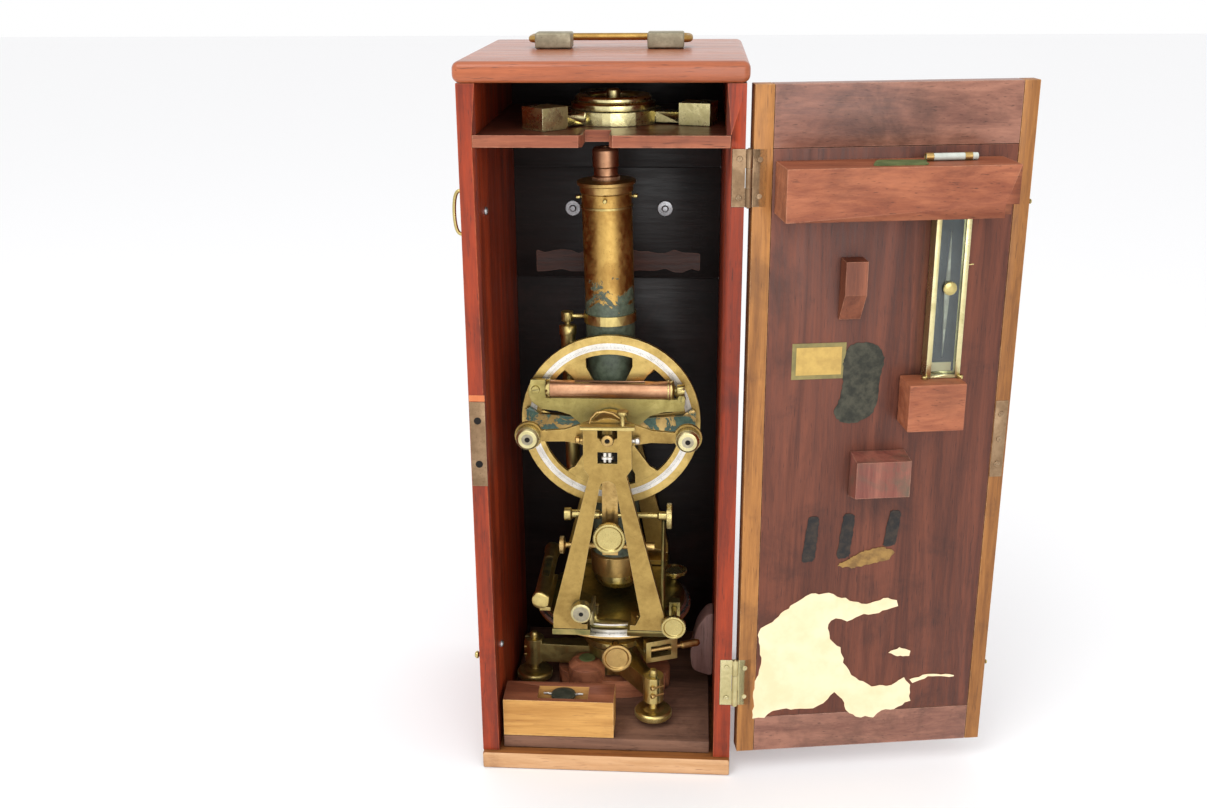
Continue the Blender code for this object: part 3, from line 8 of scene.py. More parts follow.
import json
import logging
import math
import random
from dataclasses import dataclass
from enum import Enum
from typing import Any, Callable, Iterable, Optional, Sequence

import bmesh
import bpy
from mathutils import Matrix, Vector

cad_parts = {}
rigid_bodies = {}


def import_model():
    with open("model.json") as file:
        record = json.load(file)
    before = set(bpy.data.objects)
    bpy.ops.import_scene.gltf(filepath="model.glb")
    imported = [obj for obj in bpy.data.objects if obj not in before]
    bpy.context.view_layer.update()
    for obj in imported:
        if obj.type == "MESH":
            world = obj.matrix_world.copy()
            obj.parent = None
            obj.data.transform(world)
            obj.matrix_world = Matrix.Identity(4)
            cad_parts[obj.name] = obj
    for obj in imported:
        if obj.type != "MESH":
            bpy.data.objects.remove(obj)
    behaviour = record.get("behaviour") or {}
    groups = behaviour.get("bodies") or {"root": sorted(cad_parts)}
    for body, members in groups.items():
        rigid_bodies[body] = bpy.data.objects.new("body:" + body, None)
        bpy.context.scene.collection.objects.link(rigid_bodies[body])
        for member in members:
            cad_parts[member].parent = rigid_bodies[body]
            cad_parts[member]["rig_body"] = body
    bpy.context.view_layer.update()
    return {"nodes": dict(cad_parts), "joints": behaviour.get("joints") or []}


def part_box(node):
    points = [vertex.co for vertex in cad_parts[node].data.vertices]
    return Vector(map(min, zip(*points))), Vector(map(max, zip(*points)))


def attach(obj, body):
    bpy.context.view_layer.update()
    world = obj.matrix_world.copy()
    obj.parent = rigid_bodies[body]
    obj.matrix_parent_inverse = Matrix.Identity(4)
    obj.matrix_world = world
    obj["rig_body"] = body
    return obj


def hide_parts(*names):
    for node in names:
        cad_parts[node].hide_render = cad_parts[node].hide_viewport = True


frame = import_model()

MM = 0.001
TAU = math.tau
JOINTS = {joint["name"]: joint for joint in frame["joints"]}
log = logging.getLogger("theodolite")

STAND = Matrix(((1, 0, 0, 0), (0, 0, 1, 0), (0, 1, 0, 0), (0, 0, 0, 1)))

Point = Sequence[float]
Outline = list[tuple[float, float]]


class Grain(Enum):
    """Direction in which a wooden piece's fibres run."""

    ALONG_X = (0.07, 1.0, 1.0)
    ALONG_Y = (1.0, 0.07, 1.0)
    UPRIGHT = (1.0, 1.0, 0.07)


# ---------------------------------------------------------------- solids, in millimetres
def block(low: Point, high: Point) -> bmesh.types.BMesh:
    """Rectangular block.

    Args:
        low: lowest corner.
        high: highest corner.

    Returns:
        The block as a new bmesh.
    """
    bm = bmesh.new()
    bmesh.ops.create_cube(bm, size=1.0)
    size = [b - a for a, b in zip(low, high)]
    centre = [(a + b) / 2 for a, b in zip(low, high)]
    bmesh.ops.transform(bm, matrix=Matrix.Translation(centre) @ Matrix.Diagonal((*size, 1.0)), verts=bm.verts)
    return bm


def facing(at: Point, direction: Point, spin: float = 0.0) -> Matrix:
    """Frame at a point with its z axis along a direction.

    Args:
        at: the frame's origin.
        direction: where its z axis points.
        spin: turn about that axis, in radians.

    Returns:
        The frame as a matrix.
    """
    turn = Vector(direction).to_track_quat("Z", "Y").to_matrix().to_4x4()
    return Matrix.Translation(at) @ turn @ Matrix.Rotation(spin, 4, "Z")


def lathe(profile: Outline, place: Matrix, steps: int = 64, closed: bool = False) -> bmesh.types.BMesh:
    """Turn a (radius, height) profile about the place's z axis.

    Args:
        profile: points from one end to the other.
        place: frame of the turned shape.
        steps: number of facets round it.
        closed: whether the last point joins the first, as in a ring or tube.

    Returns:
        The turned shape as a new bmesh.
    """
    bm = bmesh.new()
    rings = []
    for radius, height in profile:
        count = 1 if radius < 1e-4 else steps
        angles = [TAU * i / steps for i in range(count)]
        reach = 0.0 if count == 1 else radius
        rings.append([bm.verts.new((reach * math.cos(a), reach * math.sin(a), height)) for a in angles])
    pairs = list(zip(rings, rings[1:]))
    if closed:
        pairs.append((rings[-1], rings[0]))
    for low, high in pairs:
        for i in range(steps):
            j = (i + 1) % steps
            around = [low[i % len(low)], low[j % len(low)], high[j % len(high)], high[i % len(high)]]
            corners = list(dict.fromkeys(around))
            if len(corners) > 2:
                bm.faces.new(corners)
    bmesh.ops.recalc_face_normals(bm, faces=bm.faces)
    bmesh.ops.transform(bm, matrix=place, verts=bm.verts)
    return bm


def prism(outline: Outline, depth: float, place: Matrix) -> bmesh.types.BMesh:
    """Flat outline in the place's xy plane, thickened along its z axis.

    Args:
        outline: (x, y) corners in order.
        depth: its thickness.
        place: frame that it is drawn in.

    Returns:
        The solid as a new bmesh.
    """
    bm = bmesh.new()
    face = bm.faces.new([bm.verts.new((x, y, 0.0)) for x, y in outline])
    lifted = bmesh.ops.extrude_face_region(bm, geom=[face])["geom"]
    bmesh.ops.translate(bm, vec=(0, 0, depth), verts=[v for v in lifted if isinstance(v, bmesh.types.BMVert)])
    bmesh.ops.recalc_face_normals(bm, faces=bm.faces)
    bmesh.ops.transform(bm, matrix=place, verts=bm.verts)
    return bm


def sweep(points: Sequence[Point], radius: float, sides: int = 14) -> bmesh.types.BMesh:
    """Round bar that follows a line of points.

    Args:
        points: the bar's middle line.
        radius: the bar's radius.
        sides: facets round the bar.

    Returns:
        The closed bar as a new bmesh.
    """
    bm = bmesh.new()
    path = [Vector(p) for p in points]
    normal = (path[1] - path[0]).orthogonal().normalized()
    rings = []
    for i, at in enumerate(path):
        along = (path[min(i + 1, len(path) - 1)] - path[max(i - 1, 0)]).normalized()
        normal = (normal - along * normal.dot(along)).normalized()
        side = along.cross(normal)
        angles = [TAU * k / sides for k in range(sides)]
        rings.append([bm.verts.new(at + radius * (math.cos(a) * normal + math.sin(a) * side)) for a in angles])
    for low, high in zip(rings, rings[1:]):
        for k in range(sides):
            bm.faces.new([low[k], low[(k + 1) % sides], high[(k + 1) % sides], high[k]])
    bm.faces.new(list(reversed(rings[0])))
    bm.faces.new(rings[-1])
    bmesh.ops.recalc_face_normals(bm, faces=bm.faces)
    return bm


def turned(profile: Outline, place: Matrix, soft: float, steps: int, ease: int = 3) -> bmesh.types.BMesh:
    """Lathe an open profile whose corners are eased.

    Args:
        profile: (radius, height) points from one end to the other.
        place: frame of the turned shape.
        soft: how far its corners are eased.
        steps: number of facets round it.
        ease: segments in each eased corner.

    Returns:
        The turned shape as a new bmesh.
    """
    return lathe(rounded(profile, soft, ease, False), place, steps)


def together(solids: Iterable[bmesh.types.BMesh]) -> bmesh.types.BMesh:
    """Several solids in one bmesh; the given ones are freed.

    Args:
        solids: the solids to join.

    Returns:
        The joined solids as a new bmesh.
    """
    whole = bmesh.new()
    for solid in solids:
        scratch = bpy.data.meshes.new("scratch")
        solid.to_mesh(scratch)
        solid.free()
        whole.from_mesh(scratch)
        bpy.data.meshes.remove(scratch)
    return whole


def arc(centre: Point, radius: float, start: float, end: float, steps: int) -> Outline:
    """Points along an arc, with its angles in degrees."""
    angles = [math.radians(start + (end - start) * i / steps) for i in range(steps + 1)]
    return [(centre[0] + radius * math.cos(a), centre[1] + radius * math.sin(a)) for a in angles]


def rounded(corners: Outline, radius: float, steps: int = 5, closed: bool = True) -> Outline:
    """Outline with each corner eased by a small curve.

    Args:
        corners: the sharp outline.
        radius: how far from the corner the curve starts.
        steps: segments in each curve.
        closed: whether the outline's ends are joined; open ends stay sharp.

    Returns:
        The eased outline.
    """
    eased = []
    count = len(corners)
    for i, corner in enumerate(corners):
        if not closed and i in (0, count - 1):
            eased.append(corner)
            continue
        here = Vector(corner)
        before, after = Vector(corners[i - 1]) - here, Vector(corners[(i + 1) % count]) - here
        if before.length < 1e-6 or after.length < 1e-6:
            continue
        reach = min(radius, before.length * 0.45, after.length * 0.45)
        start, end = here + before.normalized() * reach, here + after.normalized() * reach
        for k in range(steps + 1):
            t = k / steps
            point = start * (1 - t) ** 2 + here * 2 * t * (1 - t) + end * t * t
            eased.append((point.x, point.y))
    return eased


def box_mm(node: str) -> tuple[Vector, Vector]:
    """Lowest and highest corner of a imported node, in millimetres."""
    low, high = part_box(node)
    return low / MM, high / MM


def joint_line(name: str) -> tuple[Vector, Vector]:
    """Point on a hinge's axis, in millimetres, and the axis's direction."""
    joint = JOINTS[name]
    return Vector(joint["pos_m"]) / MM, Vector(joint["axis"]).normalized()


def section_of(node: str, place: Matrix) -> list[Outline]:
    """Half sections of a turned node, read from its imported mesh.

    The mesh is cut by a plane through its axis, midway between two of its facet edges, and the radii are
    brought back out to the facets' corners.

    Args:
        node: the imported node.
        place: frame whose z axis is the node's own axis, in millimetres.

    Returns:
        Chains of (radius, height) points, one for each closed or axis-to-axis section.
    """
    bm = bmesh.new()
    bm.from_mesh(frame["nodes"][node].data)
    inward = place.inverted() @ Matrix.Scale(1 / MM, 4)
    bmesh.ops.transform(bm, matrix=inward, verts=bm.verts)
    bmesh.ops.remove_doubles(bm, verts=bm.verts, dist=0.01)
    widest = max(v.co.xy.length for v in bm.verts)
    rim = sorted({round(math.atan2(v.co.y, v.co.x), 3) for v in bm.verts if v.co.xy.length > widest - 0.02})
    facets = len(rim)
    middle = rim[0] + math.pi / facets
    bmesh.ops.rotate(bm, cent=(0, 0, 0), matrix=Matrix.Rotation(-middle, 3, "Z"), verts=bm.verts)
    everything = bm.verts[:] + bm.edges[:] + bm.faces[:]
    made = bmesh.ops.bisect_plane(bm, geom=everything, dist=1e-4, plane_co=(0, 0, 0), plane_no=(0, 1, 0))
    grow = 1 / math.cos(math.pi / facets)
    spans = []
    for edge in (e for e in made["geom_cut"] if isinstance(e, bmesh.types.BMEdge)):
        a, b = (v.co for v in edge.verts)
        if max(a.x, b.x) < 1e-4:
            continue
        if a.x < 0 or b.x < 0:
            t = a.x / (a.x - b.x)
            crossing = a.lerp(b, t)
            a, b = (crossing, b) if a.x < 0 else (a, crossing)
        ends = [(round(max(p.x, 0) * grow, 3), round(p.z, 3)) for p in (a, b)]
        if ends[0] != ends[1]:
            spans.append(ends)
    bm.free()
    return chains(spans)


def chains(spans: list[list[tuple[float, float]]]) -> list[Outline]:
    """Join loose spans end to end into chains, starting from ends that lie on the axis.

    Args:
        spans: pairs of (radius, height) ends.

    Returns:
        The chains, each without the points of its straight runs.
    """
    left = list(spans)
    found = []
    while left:
        first = next((s for s in left if min(s[0][0], s[1][0]) < 0.01), left[0])
        left.remove(first)
        chain = list(first) if first[0][0] <= first[1][0] else list(reversed(first))
        grown_chain = True
        while grown_chain:
            grown_chain = False
            for span in left:
                near = min(span, key=lambda p: math.dist(p, chain[-1]))
                if math.dist(near, chain[-1]) < 0.03:
                    far = span[1] if near == span[0] else span[0]
                    chain.append(far)
                    left.remove(span)
                    grown_chain = True
                    break
        found.append(straightened(chain))
    return found


def straightened(chain: Outline) -> Outline:
    """Chain without the points that lie on a straight run.

    Args:
        chain: points in order.

    Returns:
        The points at its ends and its bends.
    """
    kept = [chain[0]]
    for before, here, after in zip(chain, chain[1:], chain[2:]):
        u, v = Vector(here) - Vector(before), Vector(after) - Vector(here)
        if abs(u.x * v.y - u.y * v.x) > 0.004 * max(u.length * v.length, 1e-9):
            kept.append(here)
    kept.append(chain[-1])
    return kept


# ---------------------------------------------------------------- shader graphs
class Graph:
    """Short ways of adding and linking shader nodes in one tree."""

    def __init__(self, tree: bpy.types.NodeTree) -> None:
        """Keep the tree that nodes are added to."""
        self.tree = tree

    def node(self, kind: str, inputs: Optional[dict] = None, **fields: Any) -> bpy.types.Node:
        """Add a node.

        Args:
            kind: the node's type name.
            inputs: a value or an output socket for each input, by name or place.
            fields: the node's own settings.

        Returns:
            The new node.
        """
        made = self.tree.nodes.new(kind)
        for name, value in fields.items():
            setattr(made, name, value)
        for key, value in (inputs or {}).items():
            self.feed(made.inputs[key], value)
        return made

    def feed(self, socket: bpy.types.NodeSocket, value: Any) -> None:
        """Link an output to a socket, or set the socket's own value.

        Args:
            socket: the input to feed.
            value: an output socket or a plain value.
        """
        if isinstance(value, bpy.types.NodeSocket):
            self.tree.links.new(value, socket)
        else:
            socket.default_value = value

    def math(self, operation: str, a: Any, b: Any = 0.0, clamp: bool = False) -> bpy.types.NodeSocket:
        """Result of a Math node."""
        return self.node("ShaderNodeMath", {0: a, 1: b}, operation=operation, use_clamp=clamp).outputs[0]

    def mix(self, factor: Any, a: Any, b: Any, mode: str = "MIX") -> bpy.types.NodeSocket:
        """Colour between a and b."""
        given = {0: factor, 6: rgba(a), 7: rgba(b)}
        return self.node("ShaderNodeMix", given, data_type="RGBA", blend_type=mode).outputs[2]

    def noise(self, vector: Any, scale: Any, detail: float = 4.0, roughness: float = 0.55,
              distortion: float = 0.0) -> bpy.types.NodeSocket:
        """Value of a noise texture."""
        given = {"Vector": vector, "Scale": scale, "Detail": detail, "Roughness": roughness,
                 "Distortion": distortion}
        return self.node("ShaderNodeTexNoise", given).outputs[0]

    def step(self, value: Any, low: Any, high: Any, out_low: Any = 0.0, out_high: Any = 1.0
             ) -> bpy.types.NodeSocket:
        """Value mapped smoothly from one range to another."""
        given = {"Value": value, "From Min": low, "From Max": high, "To Min": out_low, "To Max": out_high}
        return self.node("ShaderNodeMapRange", given, interpolation_type="SMOOTHSTEP").outputs[0]


def rgba(value: Any) -> Any:
    """Colour with an alpha of 1 added where it has none.

    Args:
        value: a colour of three or four numbers, or a socket.

    Returns:
        The colour with four numbers, or the socket.
    """
    if isinstance(value, tuple) and len(value) == 3:
        return (*value, 1.0)
    return value


Socket = tuple[str, str, float]


def effect(name: str, inputs: Sequence[Socket], outputs: Sequence[str],
           fill: Callable[[Graph, bpy.types.Node, bpy.types.Node], None]) -> bpy.types.NodeTree:
    """Shader node group, built once and shared.

    Args:
        name: the group's name.
        inputs: (name, socket type, default value) of each input.
        outputs: names of its value outputs.
        fill: adds the group's nodes between its input and output nodes.

    Returns:
        The group's tree.
    """
    found = bpy.data.node_groups.get(name)
    if found:
        return found
    tree = bpy.data.node_groups.new(name, "ShaderNodeTree")
    for label, kind, default in inputs:
        socket = tree.interface.new_socket(label, in_out="INPUT", socket_type=kind)
        if kind == "NodeSocketFloat":
            socket.default_value = default
    for label in outputs:
        tree.interface.new_socket(label, in_out="OUTPUT", socket_type="NodeSocketFloat")
    graph = Graph(tree)
    fill(graph, graph.node("NodeGroupInput"), graph.node("NodeGroupOutput"))
    return tree


def fill_grain(graph: Graph, given: bpy.types.Node, result: bpy.types.Node) -> None:
    """Wood: broad figure, fine fibres and short open pores along a stretched vector.

    Args:
        graph: the tree to add to.
        given: its input node.
        result: its output node.
    """
    vector, scale = given.outputs["Vector"], given.outputs["Scale"]
    figure = graph.noise(vector, scale, 5.0, 0.6, 1.6)
    fibre = graph.noise(vector, graph.math("MULTIPLY", scale, 9.0), 4.0, 0.7, 0.4)
    pore = graph.noise(vector, graph.math("MULTIPLY", scale, 26.0), 2.0, 0.5)
    graph.feed(result.inputs["Figure"], graph.step(figure, 0.32, 0.68))
    graph.feed(result.inputs["Fibre"], graph.step(fibre, 0.3, 0.7))
    graph.feed(result.inputs["Pores"], graph.step(pore, 0.62, 0.74))


def fill_wear(graph: Graph, given: bpy.types.Node, result: bpy.types.Node) -> None:
    """Mask of rubbed edges, from how far the rounded normal leans from the flat one.

    Args:
        graph: the tree to add to.
        given: its input node.
        result: its output node.
    """
    soft = graph.node("ShaderNodeBevel", {"Radius": given.outputs["Radius"]}, samples=4).outputs[0]
    flat = graph.node("ShaderNodeNewGeometry").outputs["Normal"]
    facing_off = graph.node("ShaderNodeVectorMath", {0: soft, 1: flat}, operation="DOT_PRODUCT").outputs["Value"]
    bend = graph.math("SUBTRACT", 1.0, facing_off)
    place = graph.node("ShaderNodeTexCoord").outputs["Object"]
    breaks = graph.step(graph.noise(place, 190.0, 5.0, 0.7), 0.36, 0.62, 0.25, 1.3)
    mask = graph.math("MULTIPLY", graph.step(bend, 0.01, 0.16), breaks)
    graph.feed(result.inputs["Mask"], graph.math("MULTIPLY", mask, given.outputs["Amount"], clamp=True))


def fill_patina(graph: Graph, given: bpy.types.Node, result: bpy.types.Node) -> None:
    """Uneven ageing at three sizes: clouds, mottling and specks.

    Args:
        graph: the tree to add to.
        given: its input node.
        result: its output node.
    """
    vector = given.outputs["Vector"]
    graph.feed(result.inputs["Clouds"], graph.step(graph.noise(vector, 34.0, 5.0, 0.62, 0.8), 0.34, 0.66))
    graph.feed(result.inputs["Mottle"], graph.step(graph.noise(vector, 240.0, 5.0, 0.68), 0.34, 0.66))
    graph.feed(result.inputs["Specks"], graph.step(graph.noise(vector, 820.0, 3.0, 0.6), 0.62, 0.72))


def fill_dirt_and_shade(graph: Graph, given: bpy.types.Node, result: bpy.types.Node) -> None:
    """Mask of dirt and of painted shade in corners, taken from ambient occlusion.

    Args:
        graph: the tree to add to.
        given: its input node.
        result: its output node.
    """
    # ambient occlusion says how little light reaches a corner; this mask paints that shade into the colour
    closed = graph.node("ShaderNodeAmbientOcclusion", {"Distance": given.outputs["Reach"]}, samples=4,
                        only_local=False).outputs["AO"]
    place = graph.node("ShaderNodeTexCoord").outputs["Object"]
    breaks = graph.step(graph.noise(place, 120.0, 4.0, 0.7), 0.3, 0.7, 0.55, 1.15)
    mask = graph.math("MULTIPLY", graph.step(closed, 0.75, 0.2), breaks)
    graph.feed(result.inputs["Mask"], graph.math("MULTIPLY", mask, given.outputs["Amount"], clamp=True))


def grain_group() -> bpy.types.NodeTree:
    """Shared wood grain."""
    sockets = (("Vector", "NodeSocketVector", 0.0), ("Scale", "NodeSocketFloat", 40.0))
    return effect("wood_grain", sockets, ("Figure", "Fibre", "Pores"), fill_grain)


def wear_group() -> bpy.types.NodeTree:
    """Shared edge wear."""
    sockets = (("Radius", "NodeSocketFloat", 0.0006), ("Amount", "NodeSocketFloat", 1.0))
    return effect("edge_wear", sockets, ("Mask",), fill_wear)


def patina_group() -> bpy.types.NodeTree:
    """Shared uneven ageing."""
    return effect("patina", (("Vector", "NodeSocketVector", 0.0),), ("Clouds", "Mottle", "Specks"), fill_patina)


def dirt_and_shade_group() -> bpy.types.NodeTree:
    """Shared dirt and painted shade in corners."""
    sockets = (("Reach", "NodeSocketFloat", 0.006), ("Amount", "NodeSocketFloat", 1.0))
    return effect("corner_dirt_and_shade", sockets, ("Mask",), fill_dirt_and_shade)


class Finish:
    """A material with a name, a slot of the record and a graph that a subclass draws."""

    name: str
    slot: str

    def material(self) -> bpy.types.Material:
        """The finish's material, made the first time that it is asked for."""
        found = bpy.data.materials.get(self.name)
        if found:
            return found
        made = bpy.data.materials.new(self.name)
        made.use_nodes = True
        graph = Graph(made.node_tree)
        self.draw(graph, made.node_tree.nodes["Principled BSDF"])
        return made

    def draw(self, graph: Graph, shader: bpy.types.Node) -> None:
        """Add the finish's nodes in front of its shader.

        Args:
            graph: the material's tree.
            shader: its Principled BSDF.
        """
        raise NotImplementedError


def place_vector(graph: Graph, scale: Point = (1.0, 1.0, 1.0), shift: Point = (0.0, 0.0, 0.0)
                 ) -> bpy.types.NodeSocket:
    """Object coordinates, stretched and shifted."""
    here = graph.node("ShaderNodeTexCoord").outputs["Object"]
    return graph.node("ShaderNodeMapping", {"Vector": here, "Location": shift, "Scale": scale}).outputs[0]


@dataclass(frozen=True)
class WoodFinish(Finish):
    """Polished or bare wood."""

    name: str
    slot: str
    dark: Point
    light: Point
    worn: Point
    grain: Grain = Grain.UPRIGHT
    scale: float = 42.0
    roughness: float = 0.42
    polish: float = 0.25
    wear: float = 0.8
    # colour of stains and pores, and of the dirt and painted shade in corners
    stain_and_shade: Point = (0.02, 0.008, 0.006)
    stained: float = 0.35
    dirt_and_shade: float = 0.6
    shift: Point = (0.0, 0.0, 0.0)

    def draw(self, graph: Graph, shader: bpy.types.Node) -> None:
        """Grain, stains, rubbed edges, and corners darkened with dirt and painted shade, under a thin polish.

        Args:
            graph: the material's tree.
            shader: its Principled BSDF.
        """
        here = place_vector(graph)
        stretched = place_vector(graph, self.grain.value, self.shift)
        grain = graph.node("ShaderNodeGroup", node_tree=grain_group())
        graph.feed(grain.inputs["Vector"], stretched)
        grain.inputs["Scale"].default_value = self.scale
        figure, fibre, pores = (grain.outputs[k] for k in ("Figure", "Fibre", "Pores"))
        tone = graph.math("ADD", graph.math("MULTIPLY", figure, 0.65), graph.math("MULTIPLY", fibre, 0.35))
        colour = graph.mix(tone, self.dark, self.light)
        cloud = graph.step(graph.noise(here, 16.0, 6.0, 0.65, 0.5), 0.5, 0.72)
        colour = graph.mix(graph.math("MULTIPLY", cloud, self.stained), colour, self.stain_and_shade)
        colour = graph.mix(graph.math("MULTIPLY", pores, 0.55), colour, self.stain_and_shade)
        wear = graph.node("ShaderNodeGroup", {"Radius": 0.0011, "Amount": self.wear}, node_tree=wear_group())
        colour = graph.mix(wear.outputs[0], colour, self.worn)
        # painted shade: corners darkened towards the stain colour by ambient occlusion, meant also as dirt
        dirt_and_shade = graph.node("ShaderNodeGroup", {"Reach": 0.009, "Amount": self.dirt_and_shade}, node_tree=dirt_and_shade_group())
        colour = graph.mix(dirt_and_shade.outputs[0], colour, self.stain_and_shade)
        graph.feed(shader.inputs["Base Color"], colour)
        graph.feed(shader.inputs["Roughness"], graph.step(fibre, 0.0, 1.0, self.roughness, self.roughness + 0.16))
        height = graph.math("SUBTRACT", fibre, graph.math("MULTIPLY", pores, 0.8))
        bump = graph.node("ShaderNodeBump", {"Strength": 0.22, "Distance": 0.0004, "Height": height})
        graph.feed(shader.inputs["Normal"], bump.outputs[0])
        shader.inputs["Coat Weight"].default_value = self.polish * 0.6
        shader.inputs["Specular IOR Level"].default_value = 0.3
        shader.inputs["Coat Roughness"].default_value = 0.22


@dataclass(frozen=True)
class MetalFinish(Finish):
    """Brass, silver or steel that has aged unevenly."""

    name: str
    slot: str
    clean: Point
    tarnished: Point
    bright: Point
    roughness: float = 0.3
    tarnish: float = 0.7
    dirt_and_shade: float = 0.7
    wear: float = 0.8
    verdigris: float = 0.1

    def draw(self, graph: Graph, shader: bpy.types.Node) -> None:
        """Tarnish in clouds, bright rubbed edges, and in the corners dull dirt with painted shade and a little
        verdigris.

        Args:
            graph: the material's tree.
            shader: its Principled BSDF.
        """
        here = place_vector(graph)
        age = graph.node("ShaderNodeGroup", {"Vector": here}, node_tree=patina_group())
        clouds, mottle, specks = (age.outputs[k] for k in ("Clouds", "Mottle", "Specks"))
        amount = graph.math("ADD", graph.math("MULTIPLY", clouds, 0.7), graph.math("MULTIPLY", mottle, 0.3))
        colour = graph.mix(graph.math("MULTIPLY", amount, self.tarnish), self.clean, self.tarnished)
        colour = graph.mix(graph.math("MULTIPLY", specks, 0.45), colour, (0.06, 0.035, 0.015))
        wear = graph.node("ShaderNodeGroup", {"Radius": 0.0006, "Amount": self.wear}, node_tree=wear_group())
        colour = graph.mix(wear.outputs[0], colour, self.bright)
        # painted shade: corners darkened and made less metallic by ambient occlusion, meant also as dirt and verdigris
        dirt_and_shade = graph.node("ShaderNodeGroup", {"Reach": 0.005, "Amount": self.dirt_and_shade}, node_tree=dirt_and_shade_group())
        dirt_shade_and_verdigris = graph.mix(graph.math("MULTIPLY", clouds, self.verdigris), (0.05, 0.03, 0.014), (0.07, 0.16, 0.1))
        colour = graph.mix(dirt_and_shade.outputs[0], colour, dirt_shade_and_verdigris)
        graph.feed(shader.inputs["Base Color"], colour)
        graph.feed(shader.inputs["Metallic"], graph.step(dirt_and_shade.outputs[0], 0.0, 1.0, 1.0, 0.35))
        graph.feed(shader.inputs["Roughness"], graph.step(amount, 0.0, 1.0, self.roughness, self.roughness + 0.2))
        soft = graph.node("ShaderNodeBevel", {"Radius": 0.00035}, samples=4).outputs[0]
        bump = graph.node("ShaderNodeBump", {"Strength": 0.12, "Distance": 0.0002, "Height": mottle, "Normal": soft})
        graph.feed(shader.inputs["Normal"], bump.outputs[0])


@dataclass(frozen=True)
class EnamelFinish(Finish):
    """Green enamel that has flaked from lacquered brass."""

    name: str
    slot: str
    paint: Point
    metal: Point
    tarnished: Point
    cover: float = 0.5
    bare_above: float = 10.0
    ragged: float = 0.03

    def draw(self, graph: Graph, shader: bpy.types.Node) -> None:
        """Paint where a noise keeps it, bare metal at rubbed edges and above a ragged line.

        Args:
            graph: the material's tree.
            shader: its Principled BSDF.
        """
        here = place_vector(graph)
        flakes = graph.noise(here, 70.0, 7.0, 0.68, 0.9)
        height = graph.node("ShaderNodeSeparateXYZ", {0: here}).outputs["Z"]
        jag = graph.math("MULTIPLY", graph.math("SUBTRACT", flakes, 0.5), self.ragged * 4)
        level = graph.math("ADD", height, jag)
        below = graph.step(level, self.bare_above + 0.0012, self.bare_above - 0.0012)
        kept = graph.step(flakes, 0.66 - self.cover * 0.5, 0.68 - self.cover * 0.5)
        wear = graph.node("ShaderNodeGroup", {"Radius": 0.0009, "Amount": 1.0}, node_tree=wear_group())
        painted = graph.math("MULTIPLY", graph.math("MULTIPLY", kept, below),
                             graph.math("SUBTRACT", 1.0, wear.outputs[0]), clamp=True)
        age = graph.node("ShaderNodeGroup", {"Vector": here}, node_tree=patina_group())
        metal = graph.mix(graph.math("MULTIPLY", age.outputs["Clouds"], 0.8), self.metal, self.tarnished)
        metal = graph.mix(graph.math("MULTIPLY", age.outputs["Specks"], 0.5), metal, (0.09, 0.04, 0.015))
        dull = tuple(c * 0.55 for c in self.paint)
        paint = graph.mix(age.outputs["Mottle"], dull, self.paint)
        graph.feed(shader.inputs["Base Color"], graph.mix(painted, metal, paint))
        graph.feed(shader.inputs["Metallic"], graph.step(painted, 0.0, 1.0, 1.0, 0.0))
        graph.feed(shader.inputs["Roughness"], graph.step(age.outputs["Mottle"], 0.0, 1.0, 0.34, 0.52))
        bump = graph.node("ShaderNodeBump", {"Strength": 0.4, "Distance": 0.0003, "Height": painted})
        graph.feed(shader.inputs["Normal"], bump.outputs[0])


@dataclass(frozen=True)
class SoftFinish(Finish):
    """Dull surface with a broken colour: felt, paper, paint marks."""

    name: str
    slot: str
    main: Point
    other: Point
    roughness: float = 0.9
    coarse: float = 90.0
    fine: float = 1500.0
    relief: float = 0.3

    def draw(self, graph: Graph, shader: bpy.types.Node) -> None:
        """Two colours broken up at a coarse and a fine size, with fine relief.

        Args:
            graph: the material's tree.
            shader: its Principled BSDF.
        """
        here = place_vector(graph)
        coarse = graph.step(graph.noise(here, self.coarse, 5.0, 0.6), 0.35, 0.7)
        fine = graph.noise(here, self.fine, 3.0, 0.7)
        blend = graph.math("ADD", graph.math("MULTIPLY", coarse, 0.7), graph.math("MULTIPLY", fine, 0.3))
        graph.feed(shader.inputs["Base Color"], graph.mix(blend, self.main, self.other))
        bump = graph.node("ShaderNodeBump", {"Strength": self.relief, "Distance": 0.0004, "Height": fine})
        graph.feed(shader.inputs["Normal"], bump.outputs[0])
        shader.inputs["Roughness"].default_value = self.roughness
        shader.inputs["Specular IOR Level"].default_value = 0.25


@dataclass(frozen=True)
class GlassFinish(Finish):
    """Glass, faintly tinted, with a little dust."""

    name: str
    slot: str
    tint: Point
    roughness: float = 0.03
    clear: float = 1.0

    def draw(self, graph: Graph, shader: bpy.types.Node) -> None:
        """Tinted glass whose dust shows only in its roughness.

        Args:
            graph: the material's tree.
            shader: its Principled BSDF.
        """
        dust = graph.noise(place_vector(graph), 420.0, 4.0, 0.7)
        graph.feed(shader.inputs["Roughness"], graph.step(dust, 0.45, 0.8, self.roughness, self.roughness + 0.16))
        shader.inputs["Base Color"].default_value = rgba(self.tint)
        shader.inputs["Transmission Weight"].default_value = self.clear
        shader.inputs["IOR"].default_value = 1.5


